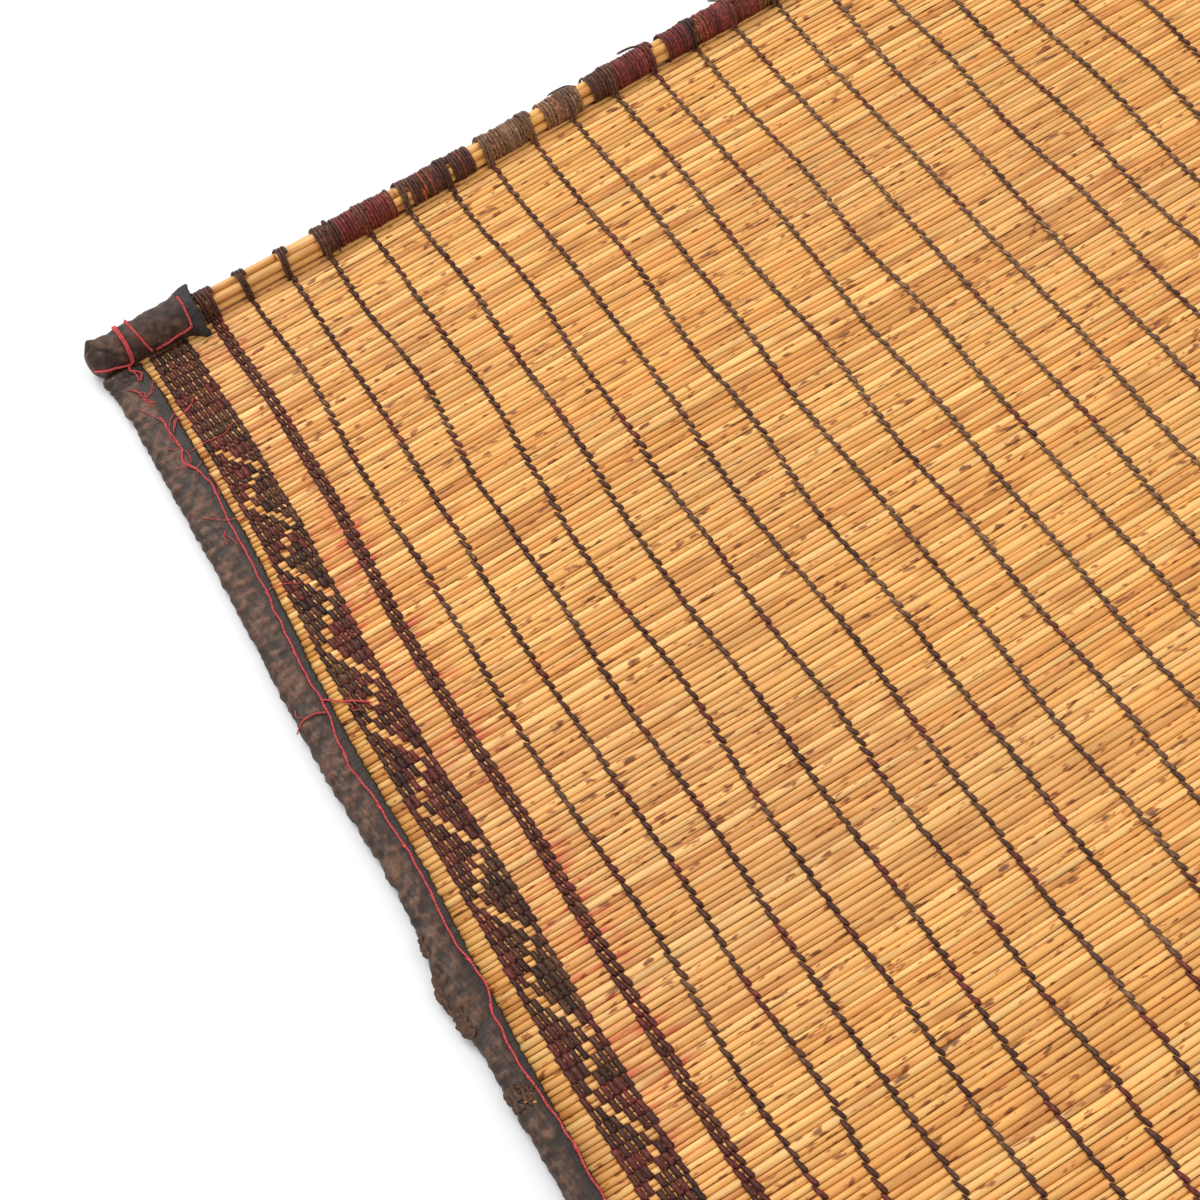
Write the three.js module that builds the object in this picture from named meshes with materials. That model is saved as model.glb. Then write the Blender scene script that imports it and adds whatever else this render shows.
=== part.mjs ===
// A small reed mat: stiff golden grass stems laid side by side and twined with leather thongs.
// Leather is folded over the stem ends along both sides, a bundle of seven thicker stems is
// lashed along each end with thongs, and a leather cap closes each corner.
// Millimetres, +Z up. +X runs along the stems and +Y along the thongs. The floor is z = 0, and
// the origin lies on it under the middle of the mat.

import * as THREE from 'three';

// Driving dimensions
const halfWidth = 411.7;      // middle of the mat to the closed ends of the corner caps
const stemEdge = 388.7;       // middle of the mat to the line that the side bindings are laid along
const endAxis = 482;          // middle of the mat to a bundle's axis, at the corners
const gap = 0.3;              // kept between pieces that touch
const thong = 1.1;            // thickness of a thong lying over or under the stems
const stemDiameter = 3;
const fieldBottom = thong;    // underside of the stems, held off the floor by the thongs under them
const fieldTop = fieldBottom + stemDiameter;
const fieldSteps = 5;

// Thong rows, counted from the outermost one at a side towards the middle row
const rowsToMiddle = 14;
const rowSpacing = 25.85;     // between rows in the middle of the mat
const rowTightening = 5;      // how much closer the outermost rows stand
const rowTighteningFade = 3;  // rows over which that wears off
const doubleRowPitch = 3.2;   // the outermost row is two rows side by side
const rowFoot = 2.6;
const rowCrest = 1.7;

// The twined band beside each binding
const bandColumns = 7;
const bandPitch = 3.15;
const bandStart = 382.3;      // middle of the mat to the band's outermost column
const bandFoot = 2.9;
const bandCrest = 2.1;

// End bundles, their lashings and the corner caps
const bundleReed = 4.4;       // diameter of one of the seven stems
const bundleRadius = 1.5 * bundleReed;
const lashingWall = 1.5;      // thong wound closely round a bundle
const lashingRadius = bundleRadius + lashingWall;
const bundleHeight = lashingRadius;
const bundleSteps = 16;
const lashingSides = 12;
const lashingStep = 50;
const lashingBore = (bundleRadius + gap) / Math.cos(Math.PI / lashingSides);
const capLength = 63;
const capWall = 5;            // thickness of the folded leather at the closed end
const capSides = 16;
const capBore = (bundleRadius + gap) / Math.cos(Math.PI / capSides);
const capMouth = 11.6;
const capInnerEnd = halfWidth - capLength;
const capReach = capMouth + gap;     // bundle axis to the stems, beside a cap
const bundleReach = 7.9;             // the same beside the lashings
const capShoulder = 0.4;             // a cap's mouth to where the stems step out to the lashings
const shoulderWidth = 0.7;           // the width of that step

// How an end bows outwards: level from a corner to `from`, furthest out at `peak`
const bow = { from: -329, peak: 61, to: 371, rise: 9.6 };

// Sideways wander of the thong rows near a side, along the mat, worked towards +X
const rowWander = [
  { y: -482, shift: 0.2 }, { y: -430, shift: 0.4 }, { y: -350, shift: -1.2 }, { y: -270, shift: 0.6 },
  { y: -190, shift: -0.8 }, { y: -110, shift: 1.2 }, { y: -30, shift: 0.8 }, { y: 60, shift: -0.9 },
  { y: 140, shift: 0 }, { y: 205, shift: -1.5 }, { y: 265, shift: -1.6 }, { y: 295, shift: 0 },
  { y: 345, shift: 2.2 }, { y: 405, shift: 2.4 }, { y: 465, shift: 0.5 }, { y: 482, shift: 0.3 },
];
const wanderFade = 300;       // the wander dies away this far before the middle

// Outline of a binding: how far its outer and inner edges lie outside the stem edge line
const bindingOutline = [
  { y: -482, outer: 21.8, inner: -0.4 }, { y: -410, outer: 19.6, inner: -1.2 },
  { y: -340, outer: 19, inner: 0.4 }, { y: -270, outer: 20.8, inner: 2.4 },
  { y: -200, outer: 18.8, inner: 1 }, { y: -130, outer: 20.6, inner: 2.8 },
  { y: -60, outer: 19.2, inner: 4.4 }, { y: 0, outer: 19.6, inner: 5.8 },
  { y: 60, outer: 20, inner: 5.2 }, { y: 95, outer: 21.6, inner: 4.2 },
  { y: 155, outer: 18.4, inner: 2.2 }, { y: 223, outer: 20.8, inner: 2.6 },
  { y: 265, outer: 20.2, inner: 1.2 }, { y: 295, outer: 19.2, inner: -1 },
  { y: 345, outer: 18.2, inner: -3.3 }, { y: 440, outer: 18.3, inner: -3.2 },
  { y: 482, outer: 22.3, inner: -0.4 },
];
const bindingSteps = 44;
const bindingWidth = 20;      // the width that the section below is drawn at
const bindingEnd = 10.9;      // a bundle's axis to the end of a binding, clear of the cap
const stemsIntoFold = 8.5;

// Section of a binding: how far out from the stem edge line, and how high off the floor
const bindingSection = [
  { out: 0, z: 0 }, { out: 16.5, z: 0 }, { out: 19.2, z: 1.6 }, { out: 20, z: 4 },
  { out: 18.6, z: 6.6 }, { out: 15.4, z: 8 }, { out: 11, z: 7.3 }, { out: 4, z: 5.9 },
  { out: 0, z: 5.5 }, { out: 0, z: fieldTop + gap }, { out: 12, z: fieldTop + gap },
  { out: 12, z: fieldBottom - gap }, { out: 0, z: fieldBottom - gap },
];

// Where the lashings are wound along the head bundle; the foot bundle has them turned half round
const lashings = [
  { from: -281.7, to: -234.7 }, { from: -226.7, to: -205.7 }, { from: -201.7, to: -187.7 },
  { from: -182.7, to: -155.7 }, { from: -145.7, to: -120.7 }, { from: -116.7, to: -74.7 },
  { from: -68.7, to: 68.7 }, { from: 76, to: 150 }, { from: 158, to: 204 }, { from: 212, to: 282 },
];

// Half outline of a cap, from the middle of its closed end to the middle of its inner end wall
const capOutline = [
  { along: 0, radius: 0 }, { along: 0.5, radius: 5.4 }, { along: 3, radius: 8.8 },
  { along: 8, radius: 10.3 }, { along: 16, radius: 10.6 }, { along: 50, radius: 10.6 },
  { along: 56, radius: 11 }, { along: capLength, radius: capMouth },
  { along: capLength, radius: capBore }, { along: capWall, radius: capBore },
  { along: capWall, radius: 0 },
];

const stems = new THREE.MeshStandardMaterial({ color: 0xe2ad63, roughness: 0.55, metalness: 0 });
const bindingLeather = new THREE.MeshStandardMaterial({ color: 0x3f3531, roughness: 0.85, metalness: 0 });
const capLeather = new THREE.MeshStandardMaterial({ color: 0x4a3527, roughness: 0.8, metalness: 0 });
const lashingLeather = new THREE.MeshStandardMaterial({ color: 0x5a3330, roughness: 0.75, metalness: 0 });

const mat = new THREE.Group();

// Value of one column of a table at y, eased between the rows on either side
function valueAt(table, column, y) {
  const last = table.length - 1;
  if (y <= table[0].y) return table[0][column];
  for (let i = 0; i < last; i++) {
    if (y > table[i + 1].y) continue;
    const t = THREE.MathUtils.smoothstep(y, table[i].y, table[i + 1].y);
    return THREE.MathUtils.lerp(table[i][column], table[i + 1][column], t);
  }
  return table[last][column];
}

// Both ends bow outwards, the foot end as the head end turned half round
function bowAt(x, end) {
  const along = end * x;
  const t = along < bow.peak
    ? (along - bow.from) / (bow.peak - bow.from)
    : (bow.to - along) / (bow.to - bow.peak);
  return bow.rise * (0.5 - 0.5 * Math.cos(Math.PI * THREE.MathUtils.clamp(t, 0, 1)));
}

// The right side wanders as the left side turned half round
function wanderAt(x, y) {
  const side = Math.sign(x);
  const strength = THREE.MathUtils.smoothstep(Math.abs(x), 0, wanderFade);
  return -side * strength * valueAt(rowWander, 'shift', -side * y);
}

function fieldEnd(x, end) {
  const besideCap = Math.abs(x) > capInnerEnd - capShoulder - shoulderWidth / 2;
  const beside = besideCap ? capReach : bundleReach;
  return end * (endAxis + bowAt(x, end) - beside);
}

function addPiece(name, geometry, material) {
  const piece = new THREE.Mesh(geometry, material.clone());
  piece.name = name;
  mat.add(piece);
}

// Moves every point of an extruded or turned shape, and drops what no longer fits it
function reshape(geometry, place) {
  const points = geometry.getAttribute('position');
  const point = new THREE.Vector3();
  for (let i = 0; i < points.count; i++) {
    place(point.fromBufferAttribute(points, i));
    points.setXYZ(i, point.x, point.y, point.z);
  }
  geometry.deleteAttribute('uv');
  geometry.computeVertexNormals();
  return geometry;
}

// Centres of all raised rows, with the widths of their feet and crests, from -X to +X
function raisedRows() {
  const half = [];
  for (let column = 0; column < bandColumns; column++) {
    half.push({ x: -bandStart + column * bandPitch, foot: bandFoot, crest: bandCrest });
  }
  let distance = 0;
  const inwards = [];
  for (let row = 0; row < rowsToMiddle; row++) {
    inwards.push(distance);
    distance += rowSpacing - rowTightening * Math.exp(-row / rowTighteningFade);
  }
  inwards.forEach((inward, row) => {
    const centre = inward - distance;
    const parts = row === 0 ? [-doubleRowPitch / 2, doubleRowPitch / 2] : [0];
    parts.forEach((offset) => half.push({ x: centre + offset, foot: rowFoot, crest: rowCrest }));
  });
  const mirrored = half.map((row) => ({ ...row, x: -row.x })).reverse();
  return [...half, { x: 0, foot: rowFoot, crest: rowCrest }, ...mirrored];
}

// The twined stems: one sheet with every thong row raised on both of its faces. The rows wander
// between the two ends, and the stems' own ends lie straight in the folded leather.
function reedField() {
  const edge = stemEdge + stemsIntoFold;
  const shoulders = [capInnerEnd - capShoulder, capInnerEnd - capShoulder - shoulderWidth];
  const line = [{ x: -edge, rise: 0 }, { x: edge, rise: 0 }];
  shoulders.forEach((x) => line.push({ x: -x, rise: 0 }, { x, rise: 0 }));
  raisedRows().forEach(({ x, foot, crest }) => {
    line.push({ x: x - foot / 2, rise: 0 }, { x: x - crest / 2, rise: thong });
    line.push({ x: x + crest / 2, rise: thong }, { x: x + foot / 2, rise: 0 });
  });
  line.sort((a, b) => a.x - b.x);

  const spans = line.length - 1;
  const sheet = new THREE.BoxGeometry(spans, fieldSteps, 1, spans, fieldSteps, 1);
  return reshape(sheet, (point) => {
    const { x, rise } = line[Math.round(point.x + spans / 2)];
    const along = point.y / fieldSteps + 0.5;
    const y = THREE.MathUtils.lerp(fieldEnd(x, -1), fieldEnd(x, 1), along);
    const wanders = Math.abs(x) < stemEdge && along > 0 && along < 1;
    const z = point.z > 0 ? fieldTop + rise : fieldBottom - rise;
    point.set(x + (wanders ? wanderAt(x, y) : 0), y, z);
  });
}

// Leather folded over the stem ends: a fat roll outside, a thin flap above and below the stems
function binding(side) {
  const profile = new THREE.Shape(bindingSection.map(({ out, z }) => new THREE.Vector2(out, z)));
  const strip = new THREE.ExtrudeGeometry(profile, { depth: 1, steps: bindingSteps, bevelEnabled: false });
  const half = endAxis - bindingEnd;
  return reshape(strip, (point) => {
    const along = THREE.MathUtils.lerp(-half, half, point.z);
    const inner = valueAt(bindingOutline, 'inner', along);
    const outer = valueAt(bindingOutline, 'outer', along) - bindingWidth;
    const shift = THREE.MathUtils.lerp(inner, outer, point.x / bindingWidth);
    point.set(side * (stemEdge + point.x + shift), -side * along, point.y);
  });
}

function circlePoints(radius, sides) {
  return Array.from({ length: sides }, (_, i) => {
    const angle = (2 * Math.PI * i) / sides;
    return new THREE.Vector2(radius * Math.cos(angle), radius * Math.sin(angle));
  });
}

// Lays a section drawn in Y and Z along the bowed axis of the bundle at one end
function alongBundle(profile, end, from, to, steps) {
  const bar = new THREE.ExtrudeGeometry(profile, { depth: 1, steps, bevelEnabled: false });
  return reshape(bar, (point) => {
    const x = THREE.MathUtils.lerp(from, to, point.z);
    point.set(x, end * (endAxis + bowAt(x, end)) + point.x, bundleHeight + point.y);
  });
}

// Six stems round a middle one, so six lobes show
function bundle(end) {
  const outline = [];
  for (let lobe = 0; lobe < 6; lobe++) {
    const around = (Math.PI / 3) * lobe;
    const centre = new THREE.Vector2(bundleReed, 0).rotateAround(new THREE.Vector2(), around);
    [-1, 0, 1].forEach((turn) => {
      const angle = around + (turn * Math.PI) / 3;
      const rim = new THREE.Vector2(Math.cos(angle), Math.sin(angle)).multiplyScalar(bundleReed / 2);
      outline.push(centre.clone().add(rim));
    });
  }
  const half = halfWidth - capWall - gap;
  return alongBundle(new THREE.Shape(outline), end, -half, half, bundleSteps);
}

function lashing(end, from, to) {
  const profile = new THREE.Shape(circlePoints(lashingRadius, lashingSides));
  profile.holes.push(new THREE.Path(circlePoints(lashingBore, lashingSides)));
  return alongBundle(profile, end, from, to, Math.ceil((to - from) / lashingStep));
}

// A corner cap, pressed flat where it lies on the floor
function cap(side, end) {
  const outline = capOutline.map(({ along, radius }) => new THREE.Vector2(radius, along));
  return reshape(new THREE.LatheGeometry(outline, capSides), (point) => {
    const z = Math.max(0, bundleHeight + point.z);
    point.set(side * (halfWidth - point.y), end * endAxis + side * point.x, z);
  });
}

addPiece('reed_field', reedField(), stems);
[['left', -1], ['right', 1]].forEach(([sideName, side]) => {
  addPiece(`binding_${sideName}`, binding(side), bindingLeather);
});
[['head', 1], ['foot', -1]].forEach(([endName, end]) => {
  addPiece(`bundle_${endName}`, bundle(end), stems);
  lashings.forEach(({ from, to }, i) => {
    const number = String(i + 1).padStart(2, '0');
    const [start, stop] = end > 0 ? [from, to] : [-to, -from];
    addPiece(`lashing_${endName}_${number}`, lashing(end, start, stop), lashingLeather);
  });
  [['left', -1], ['right', 1]].forEach(([sideName, side]) => {
    addPiece(`cap_${endName}_${sideName}`, cap(side, end), capLeather);
  });
});

export default mat;
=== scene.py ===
import math
import bpy
import numpy as np
from mathutils import Matrix, Vector


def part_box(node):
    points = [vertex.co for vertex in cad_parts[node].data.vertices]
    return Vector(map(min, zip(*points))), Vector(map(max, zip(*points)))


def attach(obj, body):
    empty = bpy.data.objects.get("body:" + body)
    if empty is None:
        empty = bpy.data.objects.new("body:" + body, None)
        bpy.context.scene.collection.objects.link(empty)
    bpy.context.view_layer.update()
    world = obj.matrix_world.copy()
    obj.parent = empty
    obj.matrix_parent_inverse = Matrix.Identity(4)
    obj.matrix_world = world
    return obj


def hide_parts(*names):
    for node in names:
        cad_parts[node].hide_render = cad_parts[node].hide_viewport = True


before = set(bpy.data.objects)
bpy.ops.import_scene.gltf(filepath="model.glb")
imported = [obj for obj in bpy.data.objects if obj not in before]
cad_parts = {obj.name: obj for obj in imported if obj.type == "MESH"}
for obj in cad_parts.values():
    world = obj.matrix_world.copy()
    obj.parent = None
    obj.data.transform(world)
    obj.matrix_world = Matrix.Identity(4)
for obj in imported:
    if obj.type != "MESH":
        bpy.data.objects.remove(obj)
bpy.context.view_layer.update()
scene = bpy.context.scene
bpy.ops.object.select_all(action='DESELECT')

# Lengths are in millimetres here and become metres when a mesh is made.
# +X runs along the reeds and +Y along the thongs, towards the head end.
mm = 0.001
sides = (('left', -1), ('right', 1))
ends = (('head', 1), ('foot', -1))


def boxOf(node):
    low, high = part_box(node)
    return np.array(low) / mm, np.array(high) / mm


capLow, capHigh = boxOf('cap_head_left')
bundleLow, bundleHigh = boxOf('bundle_head')
fieldLow, fieldHigh = boxOf('reed_field')
matSize = {
    'halfWidth': -capLow[0],
    'endAxis': (capLow[1] + capHigh[1]) / 2,
    'bundleHeight': (bundleLow[2] + bundleHigh[2]) / 2,
    'fieldHalf': fieldHigh[0],
    'capLength': capHigh[0] - capLow[0],
    'thong': 1.1,
    'reed': 3.0,
    'stemEdge': 388.7,
}
reedMiddle = matSize['thong'] + matSize['reed'] / 2
reedTop = matSize['thong'] + matSize['reed']


# Shapes that the whole mat follows

# How an end bows outwards: level from a corner to 'from', furthest out at 'peak'
bow = {'from': -329, 'peak': 61, 'to': 371, 'rise': 9.6, 'fade': 75}

# Sideways wander of the thong rows near a side, along the mat
wanderTable = {
    'y': (-482, -430, -350, -270, -190, -110, -30, 60, 140, 205, 265, 295, 345, 405, 465, 482),
    'shift': (0.2, 0.4, -1.2, 0.6, -0.8, 1.2, 0.8, -0.9, 0, -1.5, -1.6, 0, 2.2, 2.4, 0.5, 0.3),
}

# How far the edges of a side binding lie outside the stem edge line
bindingTable = {
    'y': (-482, -410, -340, -270, -200, -130, -60, 0, 60, 95, 155, 223, 265, 295, 345, 440, 482),
    'outer': (21.8, 19.6, 19, 20.8, 18.8, 20.6, 19.2, 19.6, 20, 21.6, 18.4, 20.8, 20.2, 19.2, 18.2,
              18.3, 22.3),
    'inner': (-0.4, -1.2, 0.4, 2.4, 1, 2.8, 4.4, 5.8, 5.2, 4.2, 2.2, 2.6, 1.2, -1, -3.3, -3.2, -0.4),
}


def smooth(t):
    t = np.clip(t, 0, 1)
    return t * t * (3 - 2 * t)


def tableAt(table, column, y):
    marks = np.array(table['y'], float)
    values = np.array(table[column], float)
    y = np.clip(y, marks[0], marks[-1])
    i = np.clip(np.searchsorted(marks, y) - 1, 0, len(marks) - 2)
    t = smooth((y - marks[i]) / (marks[i + 1] - marks[i]))
    return values[i] + (values[i + 1] - values[i]) * t


def bowAt(x, end):
    along = end * np.asarray(x, float)
    rising = (along - bow['from']) / (bow['peak'] - bow['from'])
    falling = (bow['to'] - along) / (bow['to'] - bow['peak'])
    t = np.clip(np.where(along < bow['peak'], rising, falling), 0, 1)
    return bow['rise'] * (0.5 - 0.5 * np.cos(np.pi * t))


def wanderAt(x, y):
    side = np.sign(x)
    return -side * tableAt(wanderTable, 'shift', -side * y) * smooth(np.abs(x) / 300)


def ripple(seed, size, *coordinates):
    # A soft uneven wave between about -1 and 1, with features as large as size
    draw = np.random.default_rng(seed)
    total = 0
    for _ in range(6):
        aim = draw.normal(size=len(coordinates))
        aim = aim / np.linalg.norm(aim) * draw.uniform(0.6, 1.7) * 2 * np.pi / size
        total = total + np.sin(sum(a * c for a, c in zip(aim, coordinates)) + draw.uniform(0, 6.28))
    return total / 3


# Thong rows and the twined band beside each binding

rows = {
    'toMiddle': 14,
    'spacing': 25.85,
    'tightening': 5,
    'tighteningFade': 3,
    'doublePitch': 3.2,
    'bandColumns': 7,
    'bandPitch': 3.15,
    'bandStart': 382.3,
    'lean': 0.85,
    'width': 1.16,
    'doubleLean': 0.72,
    'doubleWidth': 1.32,
    'thickness': 0.62,
    'reach': 1.06,          # half a stitch, over half the reeds it passes
    'sunk': 0.1,
    # along the stitch, breadth and rise: broad towards the foot end, its tail under the next stitch
    'topShape': ((-1.02, 0.5, -0.8), (-0.66, 1.08, 0.0), (0, 1.0, 0.15), (0.7, 0.78, 0.0),
                 (1.25, 0.4, -0.6)),
    'bandShape': ((-1.0, 0.9, -0.6), (-0.66, 1.2, 0.0), (0, 0.88, 0.15), (0.68, 1.14, 0.0),
                  (1.02, 0.9, -0.6)),
    'underShape': ((-1.02, 0.45, -0.8), (0, 1.0, 0.1), (1.15, 0.4, -0.7)),
}


def rowCentres():
    distances = []
    distance = 0
    for row in range(rows['toMiddle']):
        distances.append(distance)
        distance += rows['spacing'] - rows['tightening'] * math.exp(-row / rows['tighteningFade'])
    left = [inward - distance for inward in distances]
    return left + [0] + [-x for x in reversed(left)]


rowX = rowCentres()
outerRow = -rowX[0]
bandEdge = rows['bandStart'] - (rows['bandColumns'] - 0.5) * rows['bandPitch']


# Meshes

def addPiece(name, points, faces, material, shade=None, strand=None, node=None):
    mesh = bpy.data.meshes.new(name)
    mesh.from_pydata((np.asarray(points, float) * mm).tolist(), [], faces)
    mesh.polygons.foreach_set('use_smooth', [True] * len(mesh.polygons))
    if shade is not None:
        colours = mesh.color_attributes.new('shade', 'FLOAT_COLOR', 'POINT')
        flat = np.ones((len(mesh.vertices), 4))
        flat[:, :3] = shade
        colours.data.foreach_set('color', flat.ravel())
    if strand is not None:
        marks = mesh.attributes.new('strand', 'FLOAT_VECTOR', 'POINT')
        marks.data.foreach_set('vector', np.asarray(strand, float).ravel())
    mesh.update()
    piece = bpy.data.objects.new(name, mesh)
    scene.collection.objects.link(piece)
    mesh.materials.append(material)
    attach(piece, 'root')
    if node:
        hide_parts(*([node] if isinstance(node, str) else node))
    return piece


def tubes(paths, thick, wide, outward, sideways, corners, angle=None):
    # Closed tubes along many paths at once: paths is (tubes, steps, 3), outward x sideways points ahead
    count, steps = paths.shape[:2]
    if angle is None:
        angle = np.arange(corners) * 2 * np.pi / corners
    rings = (paths[:, :, None, :]
             + (thick[:, :, None] * np.cos(angle))[..., None] * outward[:, :, None, :]
             + (wide[:, :, None] * np.sin(angle))[..., None] * sideways[:, :, None, :])
    points = rings.reshape(-1, 3)
    ring = np.arange(corners)
    nextOne = (ring + 1) % corners
    quad = np.stack([ring, nextOne, nextOne + corners, ring + corners], 1)
    oneTube = np.concatenate([quad + step * corners for step in range(steps - 1)])
    starts = np.arange(count) * steps * corners
    faces = (oneTube[None] + starts[:, None, None]).reshape(-1, 4).tolist()
    faces += (ring[::-1][None] + starts[:, None]).tolist()
    faces += (ring[None] + starts[:, None] + (steps - 1) * corners).tolist()
    return points, faces


def throughPoints(points, spacing):
    # A smooth line through a few points, in even steps
    points = np.array(points, float)
    before = np.vstack([2 * points[0] - points[1], points, 2 * points[-1] - points[-2]])
    t = np.linspace(0, 1, 24, endpoint=False)[:, None]
    parts = []
    for a, b, c, d in zip(before[:-3], before[1:-2], before[2:-1], before[3:]):
        parts.append(0.5 * (2 * b + (c - a) * t + (2 * a - 5 * b + 4 * c - d) * t ** 2
                            + (3 * b - a - 3 * c + d) * t ** 3))
    line = np.vstack(parts + [points[-1:]])
    length = np.concatenate([[0], np.cumsum(np.linalg.norm(np.diff(line, axis=0), axis=1))])
    even = np.linspace(0, length[-1], max(4, round(length[-1] / spacing)))
    return np.stack([np.interp(even, length, line[:, k]) for k in range(line.shape[1])], 1)


def joinParts(parts):
    points, faces = [], []
    count = 0
    for somePoints, someFaces in parts:
        points.append(somePoints)
        faces += [[index + count for index in face] for face in someFaces]
        count += len(somePoints)
    return np.vstack(points), faces


def perPoint(values, steps, corners):
    # Spreads one value, or row of values, per tube or per step over all the points of its tube
    values = np.asarray(values, float)
    if values.ndim == 3:
        return np.repeat(values.reshape(-1, values.shape[-1]), corners, axis=0)
    return np.repeat(values, steps * corners, axis=0)


# Colours and materials

def paint(red, green, blue):
    return tuple((c / 255 / 12.92) if c <= 10 else ((c / 255 + 0.055) / 1.055) ** 2.4
                 for c in (red, green, blue))


def addNode(tree, kind, **settings):
    made = tree.nodes.new(kind)
    for key, value in settings.items():
        if hasattr(made, key):
            setattr(made, key, value)
    return made


def wire(tree, fromNode, output, toNode, entry):
    tree.links.new(fromNode.outputs[output], toNode.inputs[entry])


def newMaterial(name, roughness, specular=0.4):
    material = bpy.data.materials.new(name)
    material.use_nodes = True
    tree = material.node_tree
    shader = tree.nodes['Principled BSDF']
    shader.inputs['Roughness'].default_value = roughness
    shader.inputs['Specular IOR Level'].default_value = specular
    return material, tree, shader


def stretchedNoise(tree, stretch, detail=3, roughness=0.55, source='Object'):
    # Noise over the piece's own coordinates, with its features drawn out by the scale on each axis
    if source == 'Object':
        place = addNode(tree, 'ShaderNodeTexCoord')
        output = 'Object'
    else:
        place = addNode(tree, 'ShaderNodeAttribute', attribute_name=source)
        output = 'Vector'
    mapping = addNode(tree, 'ShaderNodeMapping')
    mapping.inputs['Scale'].default_value = stretch
    noise = addNode(tree, 'ShaderNodeTexNoise')
    noise.inputs['Scale'].default_value = 1
    noise.inputs['Detail'].default_value = detail
    noise.inputs['Roughness'].default_value = roughness
    wire(tree, place, output, mapping, 'Vector')
    wire(tree, mapping, 'Vector', noise, 'Vector')
    return noise


def ramp(tree, source, output, stops):
    made = addNode(tree, 'ShaderNodeValToRGB')
    elements = made.color_ramp.elements
    while len(elements) < len(stops):
        elements.new(0.5)
    for element, (place, colour) in zip(elements, stops):
        element.position = place
        element.color = (*colour, 1) if len(colour) == 3 else colour
    wire(tree, source, output, made, 'Fac')
    return made


def grey(value):
    return (value, value, value)


def mixColour(tree, blend, first, second, factor=1.0):
    made = addNode(tree, 'ShaderNodeMix', data_type='RGBA', blend_type=blend)
    for entry, value in ((6, first), (7, second)):
        if isinstance(value, tuple) and isinstance(value[0], float):
            made.inputs[entry].default_value = (*value, 1)
        else:
            tree.links.new(value[0].outputs[value[1]], made.inputs[entry])
    if isinstance(factor, float):
        made.inputs[0].default_value = factor
    else:
        tree.links.new(factor[0].outputs[factor[1]], made.inputs[0])
    return (made, 2)


def bumpFrom(tree, shader, source, output, distance, strength=1.0, after=None):
    made = addNode(tree, 'ShaderNodeBump')
    made.inputs['Distance'].default_value = distance
    made.inputs['Strength'].default_value = strength
    wire(tree, source, output, made, 'Height')
    if after is not None:
        wire(tree, after, 'Normal', made, 'Normal')
    wire(tree, made, 'Normal', shader, 'Normal')
    return made


def calc(tree, operation, first, second=None, clamp=False):
    # A sum on values that are numbers or (node, output) pairs
    made = addNode(tree, 'ShaderNodeMath', operation=operation, use_clamp=clamp)
    for entry, value in enumerate((first, second)):
        if value is None:
            continue
        if isinstance(value, tuple):
            tree.links.new(value[0].outputs[value[1]], made.inputs[entry])
        else:
            made.inputs[entry].default_value = value
    return (made, 'Value')


def spread(tree, value, low, high, start=0.0, finish=1.0):
    # Maps a value smoothly from low..high to start..finish
    made = addNode(tree, 'ShaderNodeMapRange', interpolation_type='SMOOTHSTEP')
    made.inputs['From Min'].default_value = low
    made.inputs['From Max'].default_value = high
    made.inputs['To Min'].default_value = start
    made.inputs['To Max'].default_value = finish
    tree.links.new(value[0].outputs[value[1]], made.inputs['Value'])
    return (made, 'Result')


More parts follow.
